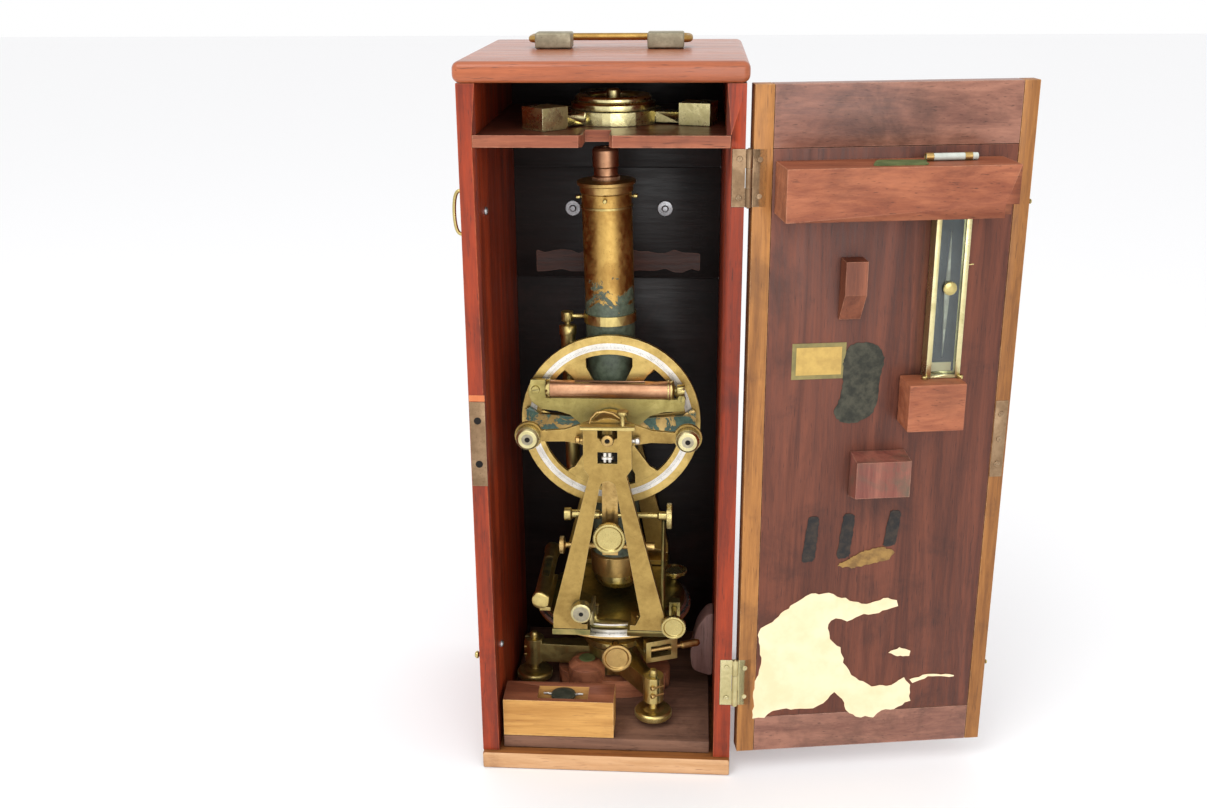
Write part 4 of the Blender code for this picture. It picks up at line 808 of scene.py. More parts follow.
RED_POLISH = dict(dark=(0.11, 0.012, 0.003), light=(0.38, 0.044, 0.008), worn=(0.5, 0.12, 0.04))
CASE_UPRIGHT = WoodFinish("case_red_upright", "mahogany_red", **RED_POLISH)
LID_WOOD = WoodFinish("lid_rubbed", "mahogany_red", (0.23, 0.055, 0.018), (0.46, 0.125, 0.045), (0.62, 0.3, 0.17),
                      Grain.ALONG_X, polish=0.7, roughness=0.28, stained=0.15, dirt_and_shade=0.3)
BASE_WOOD = WoodFinish("base_worn", "mahogany_red", (0.13, 0.035, 0.008), (0.32, 0.12, 0.03), (0.74, 0.43, 0.22),
                       Grain.ALONG_X, stained=0.3, wear=1.2)
BASE_FACE = WoodFinish("base_bare_face", "mahogany_red", (0.50, 0.26, 0.11), (0.72, 0.44, 0.24), (0.8, 0.54, 0.34),
                       Grain.ALONG_X, roughness=0.6, polish=0.0, stained=0.5, stain_and_shade=(0.2, 0.07, 0.03), dirt_and_shade=0.3)
SHELF_WOOD = WoodFinish("shelf_dry", "mahogany_red", (0.20, 0.055, 0.028), (0.42, 0.14, 0.07), (0.5, 0.22, 0.13),
                        Grain.ALONG_X, roughness=0.55, polish=0.05)
# Dark wood made near black: painted shade of the case's deep inside.
SHADED_BACK_WOOD = WoodFinish("back_dark_painted_shade", "mahogany_dark", (0.002, 0.001, 0.00075), (0.009, 0.003, 0.00175),
                       (0.025, 0.009, 0.005), Grain.ALONG_X, 30.0, stained=0.8, wear=0.3)
DOOR_WOOD = WoodFinish("door_panel_wood", "mahogany_red", (0.065, 0.016, 0.008), (0.185, 0.052, 0.026),
                       (0.34, 0.15, 0.09), roughness=0.46, stained=0.55, polish=0.3)
DOOR_RAIL = WoodFinish("door_rail_wood", "mahogany_red", (0.16, 0.06, 0.04), (0.38, 0.17, 0.11), (0.5, 0.28, 0.2),
                       Grain.ALONG_X, roughness=0.4, stained=0.6, polish=0.55)
STILE_WOOD = WoodFinish("door_stile_wood", "mahogany_red", (0.19, 0.068, 0.014), (0.50, 0.215, 0.055),
                        (0.58, 0.34, 0.16), roughness=0.5, stained=0.45, stain_and_shade=(0.09, 0.035, 0.014))
BLOCK_WOOD = WoodFinish("block_wood", "mahogany_red", (0.20, 0.05, 0.022), (0.44, 0.15, 0.07), (0.5, 0.24, 0.14),
                        Grain.ALONG_X, roughness=0.5, stained=0.3, polish=0.1)
WEDGE_WOOD = WoodFinish("wedge_wood", "mahogany_dark", (0.12, 0.034, 0.016), (0.30, 0.095, 0.045), (0.4, 0.18, 0.1))
BOARD_WOOD = WoodFinish("board_wood", "mahogany_dark", (0.09, 0.042, 0.026), (0.24, 0.12, 0.075), (0.26, 0.13, 0.1),
                        Grain.ALONG_X, roughness=0.7, polish=0.0, stained=0.5)
# Dark mahogany brightened about 2.4 times: painted light, for the light on the low front of the case.
LIT_SEAT_WOOD = WoodFinish("seat_wood_painted_light", "mahogany_dark", (0.21, 0.07, 0.035), (0.504, 0.189, 0.091), (0.504, 0.224, 0.14),
                       Grain.ALONG_X, roughness=0.6, polish=0.05, stained=0.4)
BOX_WOOD = WoodFinish("box_pale", "box_wood", (0.40, 0.18, 0.04), (0.68, 0.37, 0.11), (0.76, 0.5, 0.22),
                      Grain.ALONG_X, roughness=0.6, polish=0.0, stained=0.25, stain_and_shade=(0.28, 0.12, 0.04))
BOX_TOP = WoodFinish("box_top_wood", "mahogany_dark", (0.13, 0.036, 0.016), (0.30, 0.10, 0.045), (0.38, 0.17, 0.09),
                     Grain.ALONG_X, roughness=0.6, polish=0.05)
CHOCK_WOOD = WoodFinish("chock_wood", "mahogany_dark", (0.13, 0.06, 0.05), (0.27, 0.15, 0.13), (0.34, 0.2, 0.17))

AGED_BRASS = MetalFinish("brass_aged", "aged_brass", (0.66, 0.45, 0.17), (0.34, 0.205, 0.065), (0.80, 0.62, 0.30))
OLIVE_BRASS = MetalFinish("brass_olive", "aged_brass", (0.66, 0.52, 0.2), (0.36, 0.28, 0.10), (0.72, 0.6, 0.28),
                          verdigris=0.5)
RUBBED_BRASS = MetalFinish("brass_rubbed", "rubbed_brass", (0.60, 0.49, 0.20), (0.34, 0.26, 0.09), (0.78, 0.68, 0.38),
                           0.22, 0.6, 0.55)
PALE_BRASS = MetalFinish("brass_pale", "rubbed_brass", (0.74, 0.66, 0.36), (0.42, 0.36, 0.16), (0.88, 0.82, 0.55),
                         0.26, 0.75, 0.9, verdigris=0.35)
GREY_BRASS = MetalFinish("brass_grey", "rubbed_brass", (0.48, 0.43, 0.31), (0.26, 0.23, 0.16), (0.55, 0.49, 0.36),
                         0.45, 0.8, 0.9)
BROWN_BRASS = MetalFinish("brass_brown", "aged_brass", (0.36, 0.24, 0.14), (0.18, 0.11, 0.06), (0.64, 0.5, 0.34), 0.4)
COPPER_LACQUER = MetalFinish("lacquer_copper", "copper_lacquer", (0.62, 0.35, 0.20), (0.34, 0.16, 0.085),
                             (0.72, 0.48, 0.3), 0.26)
SILVERED = MetalFinish("silvered", "silver_white", (0.82, 0.79, 0.73), (0.5, 0.45, 0.37), (0.92, 0.9, 0.86), 0.3, 0.5)
STEEL = MetalFinish("steel_bright", "silver_white", (0.62, 0.63, 0.65), (0.3, 0.3, 0.31), (0.8, 0.8, 0.82), 0.3)
TUBE_ENAMEL = EnamelFinish("tube_enamel", "green_enamel", (0.104, 0.135, 0.0892), (0.594, 0.378, 0.111),
                           (0.36, 0.194, 0.051), 0.75, 0.3585, 0.03)
FRAME_ENAMEL = EnamelFinish("frame_enamel", "green_enamel", (0.075, 0.155, 0.115), (0.66, 0.46, 0.18),
                            (0.34, 0.21, 0.07), 0.36)
GREEN_FELT = SoftFinish("felt_green", "green_enamel", (0.07, 0.10, 0.035), (0.16, 0.19, 0.07))
PAPER = SoftFinish("paper_cream", "box_wood", (0.90, 0.75, 0.50), (0.84, 0.64, 0.38), 0.85, 60.0, 2200.0, 0.15)
LABEL = SoftFinish("paper_label", "box_wood", (0.60, 0.40, 0.115), (0.42, 0.27, 0.08), 0.7, 110.0, 2200.0, 0.15)
LABEL_RIM = SoftFinish("paper_label_rim", "box_wood", (0.16, 0.14, 0.06), (0.30, 0.24, 0.09), 0.7)
DARK_STAIN = SoftFinish("stain_dark", "green_enamel", (0.016, 0.018, 0.014), (0.085, 0.08, 0.055), 0.6, 130.0)
INK_PAINT = SoftFinish("paint_dark", "green_enamel", (0.014, 0.016, 0.018), (0.055, 0.04, 0.03), 0.7, 180.0)
GLUE_PATCH = SoftFinish("glue_patch", "box_wood", (0.36, 0.21, 0.06), (0.15, 0.08, 0.03), 0.6, 160.0)
# Near black: painted shade, for discs and sheets that stand in for the shade inside holes and openings.
HOLE_SHADE = SoftFinish("hole_painted_shade", "mahogany_dark", (0.006, 0.005, 0.004), (0.016, 0.012, 0.01), 0.8)
VIAL_GLASS = GlassFinish("glass_vial", "clear_glass", (0.86, 0.93, 0.86))
LENS_GLASS = GlassFinish("glass_lens", "clear_glass", (0.82, 0.88, 0.92))
STREAK_WOOD = WoodFinish("streak_wood", "mahogany_dark", (0.03, 0.01, 0.006), (0.12, 0.036, 0.018), (0.2, 0.08, 0.045),
                         Grain.ALONG_X, roughness=0.35, polish=0.3, stained=0.5)
BARE_WOOD = WoodFinish("bare_wood", "mahogany_red", (0.5, 0.13, 0.04), (0.66, 0.2, 0.07), (0.7, 0.3, 0.12),
                       polish=0.1, dirt_and_shade=0.0)
SHELF_DARK = WoodFinish("shelf_dark", "mahogany_red", (0.06, 0.016, 0.008), (0.17, 0.05, 0.026), (0.25, 0.1, 0.06),
                        Grain.ALONG_X, roughness=0.35, polish=0.3)
PAD_WOOD = WoodFinish("pad_wood", "mahogany_red", (0.15, 0.04, 0.03), (0.34, 0.12, 0.08), (0.4, 0.2, 0.13),
                      stained=0.8, roughness=0.5, stain_and_shade=(0.09, 0.085, 0.055))
CIRCLE_BRASS = MetalFinish("brass_circle", "aged_brass", (0.66, 0.47, 0.16), (0.36, 0.24, 0.07), (0.78, 0.66, 0.32))
STANDARD_BRASS = MetalFinish("brass_standard", "aged_brass", (0.464, 0.312, 0.098), (0.232, 0.144, 0.042),
                             (0.672, 0.546, 0.266), 0.34, verdigris=0.4)
BRACKET_BRASS = MetalFinish("brass_bracket", "aged_brass", (0.55, 0.46, 0.17), (0.32, 0.26, 0.08),
                            (0.72, 0.62, 0.3), 0.36, verdigris=0.8)
PLATE_BRASS = MetalFinish("brass_plate", "aged_brass", (0.42, 0.33, 0.12), (0.16, 0.155, 0.06), (0.6, 0.46, 0.2),
                          0.28, 0.95, verdigris=1.0)
TRIPOD_BRASS = MetalFinish("brass_tripod", "rubbed_brass", (0.86, 0.76, 0.40), (0.50, 0.43, 0.18), (0.88, 0.82, 0.52),
                           0.2, 0.9, 1.0, verdigris=0.3)
HANDLE_BRASS = MetalFinish("brass_handle", "rubbed_brass", (0.46, 0.29, 0.085), (0.32, 0.17, 0.045), (0.86, 0.66, 0.34))
SLATE = SoftFinish("compass_slate", "green_enamel", (0.012, 0.022, 0.04), (0.03, 0.045, 0.07), 0.25, 60.0, 900.0, 0.05)
VIAL_WHITE = SoftFinish("vial_white", "clear_glass", (0.62, 0.66, 0.60), (0.5, 0.54, 0.48), 0.2, 200.0, 2000.0, 0.05)
DARK_TOOL = SoftFinish("tool_dark", "green_enamel", (0.03, 0.035, 0.025), (0.07, 0.07, 0.05), 0.35, 200.0)


# ---------------------------------------------------------------- pieces
def settle(obj: bpy.types.Object) -> None:
    """Turn what an object's modifiers make into its plain mesh.

    Args:
        obj: the object, which keeps no modifiers.
    """
    bpy.context.view_layer.update()
    evaluated = obj.evaluated_get(bpy.context.evaluated_depsgraph_get())
    mesh = bpy.data.meshes.new_from_object(evaluated)
    obj.modifiers.clear()
    obj.data = mesh


def report(obj: bpy.types.Object, body: str) -> None:
    """Log a finished piece's name, body and face count."""
    log.info("%s on %s: %d faces", obj.name, body, len(obj.data.polygons))


def add_piece(name: str, bm: bmesh.types.BMesh, body: str, finish: Finish, edge: float = 0.0,
              segments: int = 3, replaces: Sequence[str] = ()) -> bpy.types.Object:
    """Make a visible piece.

    Args:
        name: the piece's name.
        bm: its shape in millimetres; it is freed.
        body: the body it moves with.
        finish: its material.
        edge: width of the bevel on its sharp edges.
        segments: steps in that bevel.
        replaces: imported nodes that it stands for.

    Returns:
        The new object.
    """
    bmesh.ops.transform(bm, matrix=Matrix.Scale(MM, 4), verts=bm.verts)
    mesh = bpy.data.meshes.new(name)
    bm.to_mesh(mesh)
    bm.free()
    mesh.materials.append(finish.material())
    obj = bpy.data.objects.new(name, mesh)
    bpy.context.scene.collection.objects.link(obj)
    if edge:
        soft = obj.modifiers.new("edge", "BEVEL")
        soft.width = edge * MM
        soft.segments = segments
        soft.limit_method = "ANGLE"
        settle(obj)
    obj.data.shade_smooth()
    obj.data.set_sharp_from_angle(angle=math.radians(34))
    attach(obj, body)
    if replaces:
        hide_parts(*replaces)
    report(obj, body)
    return obj


def side_name(side: float) -> str:
    """Left for a negative side, else right."""
    return "left" if side < 0 else "right"


def body_of(node: str) -> str:
    """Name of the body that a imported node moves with."""
    return frame["nodes"][node]["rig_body"]


def also(obj: bpy.types.Object, finish: Finish, test: Callable[[bpy.types.MeshPolygon], bool]) -> None:
    """Give the faces that pass a test a second finish.

    Args:
        obj: the object to paint.
        finish: the second finish.
        test: says whether a face takes it.
    """
    obj.data.materials.append(finish.material())
    last = len(obj.data.materials) - 1
    for face in obj.data.polygons:
        if test(face):
            face.material_index = last


def refined(node: str, finish: Finish) -> bpy.types.Object:
    """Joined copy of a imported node, which it stands for.

    Args:
        node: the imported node.
        finish: its material.

    Returns:
        The new object.
    """
    bm = bmesh.new()
    bm.from_mesh(frame["nodes"][node].data)
    bmesh.ops.transform(bm, matrix=Matrix.Scale(1 / MM, 4), verts=bm.verts)
    bmesh.ops.remove_doubles(bm, verts=bm.verts, dist=0.01)
    bmesh.ops.dissolve_limit(bm, angle_limit=math.radians(0.6), verts=bm.verts, edges=bm.edges)
    bmesh.ops.triangulate(bm, faces=bm.faces, ngon_method="BEAUTY")
    made = add_piece(node + "_look", bm, body_of(node), finish, replaces=[node])
    weigh = made.modifiers.new("weigh", "WEIGHTED_NORMAL")
    weigh.keep_sharp = True
    weigh.weight = 90
    settle(made)
    return made


def rim_of(profile: Outline) -> Optional[tuple[float, float, float]]:
    """Radius and ends of the widest straight rim of a profile.

    Args:
        profile: (radius, height) points.

    Returns:
        The rim, or None where there is no straight one.
    """
    widest = max(r for r, _ in profile)
    best = None
    for (r1, z1), (r2, z2) in zip(profile, profile[1:]):
        if abs(r1 - r2) < 0.05 and r1 > widest - 0.05 and (best is None or abs(z2 - z1) > best[2] - best[1]):
            best = (r1, min(z1, z2), max(z1, z2))
    return best


def turned_again(node: str, place: Matrix, finish: Finish, soft: float = 0.35, steps: int = 96,
                 knurled: bool = False) -> bpy.types.Object:
    """Fine turned copy of a packed turned node.

    Args:
        node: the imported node.
        place: frame whose z axis is the node's own.
        finish: its material.
        soft: how far its corners are eased.
        steps: facets round it.
        knurled: whether its widest rim has ridges.

    Returns:
        The new object.
    """
    solids = []
    rim = None
    for chain in section_of(node, place):
        open_ended = chain[0][0] < 0.01 and chain[-1][0] < 0.01
        if not open_ended and math.dist(chain[0], chain[-1]) < 0.05:
            chain = chain[:-1]
        solids.append(lathe(rounded(chain, soft, 4, not open_ended), place, steps, not open_ended))
        found = rim_of(chain)
        if found and (rim is None or found[0] > rim[0]):
            rim = found
    made = add_piece(node + "_look", together(solids), body_of(node), finish, replaces=[node])
    if knurled and rim:
        radius, low, high = rim
        count = int(TAU * radius / 1.15)
        ring_of_bars(node + "_ridges", place @ Matrix.Translation((0, 0, (low + high) / 2)), body_of(node),
                     finish, Ring(count, radius - 0.3, 0.62, 0.62, max(high - low - 0.9, 0.8)))
    return made


# ---------------------------------------------------------------- geometry nodes
@dataclass(frozen=True)
class Ring:
    """Bars set radially on a circle, in millimetres; every so many bars one is longer."""

    count: int
    radius: float
    depth: float
    width: float
    length: float
    every: int = 1
    stretch: float = 0.0


def geometry_tree(name: str, inputs: dict[str, str],
                  fill: Callable[[Graph, Any], bpy.types.NodeSocket]) -> bpy.types.NodeTree:
    """Geometry tree, built once, that ends in real and painted geometry.

    Args:
        name: the tree's name.
        inputs: socket kind of each of its named sizes.
        fill: adds the tree's own nodes and returns its instances.

    Returns:
        The tree.
    """
    found = bpy.data.node_groups.get(name)
    if found:
        return found
    tree = bpy.data.node_groups.new(name, "GeometryNodeTree")
    sockets = {"Geometry": "Geometry", **inputs, "Material": "Material"}
    for label, kind in sockets.items():
        tree.interface.new_socket(label, in_out="INPUT", socket_type="NodeSocket" + kind)
    tree.interface.new_socket("Geometry", in_out="OUTPUT", socket_type="NodeSocketGeometry")
    graph = Graph(tree)
    given = graph.node("NodeGroupInput").outputs
    real = graph.node("GeometryNodeRealizeInstances", {0: fill(graph, given)})
    painted = graph.node("GeometryNodeSetMaterial", {"Geometry": real.outputs[0], "Material": given["Material"]})
    graph.node("NodeGroupOutput", {0: painted.outputs[0]})
    return tree


def fill_ring(graph: Graph, given: Any) -> bpy.types.NodeSocket:
    """Radial bars on a circle; every so many bars one is longer.

    Args:
        graph: the tree to add to.
        given: the tree's inputs by name.

    Returns:
        The placed bars.
    """
    circle = graph.node("GeometryNodeMeshCircle", {"Vertices": given["Count"], "Radius": given["Radius"]})
    size = graph.node("ShaderNodeCombineXYZ", {0: given["Depth"], 1: given["Width"], 2: given["Length"]})
    bar = graph.node("GeometryNodeMeshCube", {"Size": size.outputs[0]})
    shift = graph.node("ShaderNodeCombineXYZ", {0: graph.math("MULTIPLY", given["Depth"], 0.5)})
    based = graph.node("GeometryNodeTransform", {"Geometry": bar.outputs["Mesh"], "Translation": shift.outputs[0]})
    outward = graph.node("GeometryNodeInputPosition").outputs[0]
    turn = graph.node("FunctionNodeAlignEulerToVector", {"Vector": outward}, axis="X")
    place_in_row = graph.math("MODULO", graph.node("GeometryNodeInputIndex").outputs[0], given["Every"])
    is_major = graph.math("LESS_THAN", place_in_row, 0.5)
    longer = graph.math("ADD", graph.math("MULTIPLY", is_major, given["Stretch"]), 1.0)
    scale = graph.node("ShaderNodeCombineXYZ", {0: longer, 1: 1.0, 2: 1.0})
    return graph.node("GeometryNodeInstanceOnPoints", {
        "Points": circle.outputs["Mesh"], "Instance": based.outputs["Geometry"],
        "Rotation": turn.outputs[0], "Scale": scale.outputs[0]}).outputs[0]


def fill_heads(graph: Graph, given: Any) -> bpy.types.NodeSocket:
    """Slotted screw head, turned at random, on each point.

    Args:
        graph: the tree to add to.
        given: the tree's inputs by name.

    Returns:
        The placed heads.
    """
    radius, height = given["Radius"], given["Height"]
    head = graph.node("GeometryNodeMeshCone", {"Vertices": 24, "Radius Top": graph.math("MULTIPLY", radius, 0.86),
                                               "Radius Bottom": radius, "Depth": height})
    size = graph.node("ShaderNodeCombineXYZ", {0: graph.math("MULTIPLY", radius, 2.4),
                                               1: graph.math("MULTIPLY", radius, 0.3), 2: height})
    slot = graph.node("GeometryNodeMeshCube", {"Size": size.outputs[0]})
    lift = graph.node("ShaderNodeCombineXYZ", {2: graph.math("MULTIPLY", height, 1.05)})
    raised = graph.node("GeometryNodeTransform", {"Geometry": slot.outputs["Mesh"], "Translation": lift.outputs[0]})
    cut = graph.node("GeometryNodeMeshBoolean", operation="DIFFERENCE")
    graph.feed(cut.inputs["Mesh 1"], head.outputs["Mesh"])
    graph.feed(cut.inputs["Mesh 2"], raised.outputs["Geometry"])
    spin = graph.node("FunctionNodeRandomValue", {0: (0, 0, 0), 1: (0, 0, math.pi)}, data_type="FLOAT_VECTOR")
    return graph.node("GeometryNodeInstanceOnPoints", {
        "Points": given["Geometry"], "Instance": cut.outputs[0], "Rotation": spin.outputs[0]}).outputs[0]


def grown(name: str, tree: bpy.types.NodeTree, values: dict[str, Any], points: Sequence[Point], place: Matrix,
          body: str, finish: Finish) -> bpy.types.Object:
    """Plain mesh of what a geometry tree makes.

    Args:
        name: the piece's name.
        tree: the geometry tree.
        values: its inputs by name.
        points: vertices that it may start from.
        place: frame of the result, in millimetres.
        body: the body it moves with.
        finish: its material.

    Returns:
        The new object.
    """
    mesh = bpy.data.meshes.new(name)
    mesh.from_pydata([tuple(p) for p in points], [], [])
    obj = bpy.data.objects.new(name, mesh)
    bpy.context.scene.collection.objects.link(obj)
    maker = obj.modifiers.new("maker", "NODES")
    maker.node_group = tree
    given = {**values, "Material": finish.material()}
    for item in tree.interface.items_tree:
        if item.in_out == "INPUT" and item.name in given:
            maker[item.identifier] = given[item.name]
    settle(obj)
    obj.data.transform(Matrix.Scale(MM, 4) @ place)
    if not obj.data.materials:
        obj.data.materials.append(finish.material())
    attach(obj, body)
    report(obj, body)
    return obj


def ring_of_bars(name: str, place: Matrix, body: str, finish: Finish, ring: Ring) -> bpy.types.Object:
    """Ridges of a knurled rim, or the graduations of a circle.

    Args:
        name: the piece's name.
        place: frame of the circle.
        body: the body it moves with.
        finish: its material.
        ring: its sizes.

    Returns:
        The new object.
    """
    values = {"Count": ring.count, "Every": ring.every, "Radius": ring.radius, "Depth": ring.depth,
              "Width": ring.width, "Length": ring.length, "Stretch": ring.stretch}
    kinds = {label: "Int" if label in ("Count", "Every") else "Float" for label in values}
    return grown(name, geometry_tree("ring_of_bars", kinds, fill_ring), values, [(0, 0, 0)], place, body, finish)


def screw_heads(name: str, places: Sequence[Point], place: Matrix, body: str, finish: Finish, radius: float,
                height: float = 0.7) -> bpy.types.Object:
    """Slotted heads at points of a frame, standing along its z axis."""
    tree = geometry_tree("slotted_heads", {"Radius": "Float", "Height": "Float"}, fill_heads)
    return grown(name, tree, {"Radius": radius, "Height": height}, places, place, body, finish)


# ---------------------------------------------------------------- the case
@dataclass
class Case:
    """Carcass, lid, shelf, handle blocks and the ironwork fixed to the carcass."""

    lid_round: float = 5.0
    base_round: float = 1.2
    board_lift: float = 1.2
    board_seams: tuple[float, ...] = (346.0, 436.0)
    streak: tuple[float, float] = (352.0, 368.0)
    streak_from: float = -66.0
    streak_step: float = 7.0
    streak_points: int = 20
    strike_z: tuple[float, float] = (235.0, 299.0)
    strike_x: tuple[float, float] = (-94.6, -83.5)
    loop_z: tuple[float, float] = (417.0, 447.0)
    loop_reach: float = 6.5
    loop_y: float = -86.0
    loop_radius: float = 1.3
    stud_at: tuple[float, float] = (-88.0, 92.0)
    bolt_height: float = 403.0
    bolt_span: float = 37.0
    bolt_middle: float = 1.5

    def build(self) -> None:
        """Make the pieces that have a plain form, and the small ironwork."""
        self.build_boards()
        self.build_back()
        self.build_ironwork()
        self.build_strike()
        self.build_handle()

    def build_boards(self) -> None:
        """Base and lid with eased edges."""
        low, high = box_mm("case_base")
        base = add_piece("base_board", block(low, high), "case", BASE_WOOD, self.base_round,
                         replaces=["case_base"])
        also(base, BASE_FACE, lambda face: face.normal.y < -0.7)
        low, high = box_mm("case_lid")
        add_piece("lid_board", block(low, high), "case", LID_WOOD, self.lid_round, 6, ["case_lid"])

    def build_back(self) -> None:
        """Loose boards that line the case's back, and the bolts through them."""
        low, high = box_mm("case_back")
        shelf_low = box_mm("upper_shelf")[0].z
        edges = [low.z + 10.3, *self.board_seams, shelf_low, high.z]
        for number, (bottom, top) in enumerate(zip(edges, edges[1:])):
            shape = (low.x - 0.35, low.y - self.board_lift, bottom + 0.3), (high.x + 0.35, low.y, top - 0.3)
            board = block(*shape)
            # the back boards are near black: dark wood with painted shade
            add_piece("back_board_%d" % number, board, "case", SHADED_BACK_WOOD, 0.5, 2)
        face = low.y - self.board_lift
        rng = random.Random(31)
        span = [self.streak_from + self.streak_step * i for i in range(self.streak_points)]
        under = [(x, self.streak[0] + rng.uniform(-1.6, 1.8)) for x in span]
        over = [(x, self.streak[1] + rng.uniform(-2.4, 1.6)) for x in reversed(span)]
        streak = prism(rounded(under + over, 1.6, 3), 0.3, Matrix.Translation((0, face - 0.2, 0)) @ STAND)
        add_piece("back_streak", streak, "case", STREAK_WOOD)
        profile = [(0, 3.4), (2.0, 3.4), (2.4, 3.0), (2.6, 1.4), (5.9, 1.4), (6.3, 1.0), (6.3, 0.0), (0, 0)]
        for side in (-1, 1):
            at = (self.bolt_middle + side * self.bolt_span, face - 0.2, self.bolt_height)
            name = "back_bolt_" + side_name(side)
            add_piece(name, turned(profile, facing(at, (0, -1, 0)), 0.3, 40), "case", STEEL)

    def build_ironwork(self) -> None:
        """Strap loop and studs on the left wall, wall bolt ends inside it."""
        outside = box_mm("case_left_side")[0].x
        low, high = self.loop_z
        x = outside + 0.4
        middle, half = (low + high) / 2, (high - low) / 2
        path = [(x - self.loop_reach * max(up, 0.0) ** 0.5, self.loop_y, middle + half * along)
                for along, up in arc((0, 0), 1.0, 180, 0, 20)]
        add_piece("strap_loop", sweep(path, self.loop_radius), "case", RUBBED_BRASS)
        inside = box_mm("case_left_side")[1].x
        profile = [(0, 2.2), (1.8, 2.0), (2.6, 1.2), (2.9, 0), (0, 0)]
        for name, z in (("upper", 430.0), ("lower", 92.0)):
            stud = turned(profile, facing((inside, -70, z), (1, 0, 0)), 0.3, 28)
            add_piece("wall_bolt_" + name, stud, "case", STEEL)
        knob = [(0, 5.0), (1.8, 4.8), (2.9, 3.6), (2.9, 2.4), (1.5, 1.6), (1.5, 0), (0, 0)]
        stud = turned(knob, facing((outside, *self.stud_at), (-1, 0, 0)), 0.3, 28)
        add_piece("strap_stud", stud, "case", RUBBED_BRASS)

    def build_strike(self) -> None:
        """Lock strike let into the left wall's front edge, with two near-black discs of painted shade for its holes and
        a bare cut above it.
        """
        front = box_mm("case_left_side")[0].y
        low, high = self.strike_z
        plate = block((self.strike_x[0], front - 0.5, low), (self.strike_x[1], front + 0.4, high))
        add_piece("strike_plate", plate, "case", BROWN_BRASS, 0.25, 2)
        middle = sum(self.strike_x) / 2
        # each hole is a thin near-black disc of painted shade
        for number, z in enumerate((low + 17, high - 14)):
            hole = lathe([(0, 0.0), (2.6, 0.0), (2.6, 0.35), (2.2, 0.35), (0, 0.3)],
                         facing((middle, front - 0.5, z), (0, -1, 0)), 28)
            add_piece("strike_hole_%d" % number, hole, "case", HOLE_SHADE)
        cut = block((self.strike_x[0], front - 0.3, high + 0.5), (self.strike_x[1], front + 0.2, high + 5.0))
        add_piece("bare_cut", cut, "case", BARE_WOOD, 0.1, 1)

    def build_handle(self) -> None:
        """Handle blocks and the folded bail."""
        for side in ("left", "right"):
            low, high = box_mm("handle_post_" + side)
            add_piece("handle_block_" + side, block(low, high), "case", GREY_BRASS, 1.3, 3,
                      ["handle_post_" + side])
        low, high = box_mm("carry_handle")
        radius = (high.z - low.z) / 2
        z = (low.z + high.z) / 2
        left, right, back = low.x + radius, high.x - radius, high.y - radius
        front = low.y + radius
        inner = left + 16
        corner = 6.0
        path = [(inner, front, z), (left + corner, front, z)]
        path += [(x, y, z) for x, y in arc((left + corner, front + corner), corner, 270, 180, 6)]
        path += [(x, y, z) for x, y in arc((left + corner, back - corner), corner, 180, 90, 6)]
        path += [(x, y, z) for x, y in arc((right - corner, back - corner), corner, 90, 0, 6)]
        path += [(x, y, z) for x, y in arc((right - corner, front + corner), corner, 0, -90, 6)]
        path += [(right - corner - 9, front, z)]
        add_piece("handle_bail", sweep(path, radius, 20), "handle", HANDLE_BRASS, replaces=["carry_handle"])

    def dress(self) -> None:
        """Walls, back and hinges keep their packed form."""
        refined("case_left_side", CASE_UPRIGHT)
        refined("case_right_side", CASE_UPRIGHT)
        # the back is near black: dark wood with painted shade
        refined("case_back", SHADED_BACK_WOOD)
        shelf = refined("upper_shelf", SHELF_WOOD)
        also(shelf, SHELF_DARK, lambda face: abs(face.normal.z) > 0.7)
        for level, finish in (("upper", BROWN_BRASS), ("lower", PALE_BRASS)):
            refined("hinge_case_leaf_" + level, finish)
            refined("hinge_door_leaf_" + level, finish)
            low, high = box_mm("hinge_case_leaf_" + level)
            z = (low.z + 7, high.z - 7)
            place = facing((low.x + 4.7, -97.05, 0), (0, -1, 0))
            heads = [place.inverted() @ Vector((low.x + 4.7, -97.05, height)) for height in z]
            screw_heads("hinge_screws_case_" + level, heads, place, "case", finish, 1.9, 0.5)


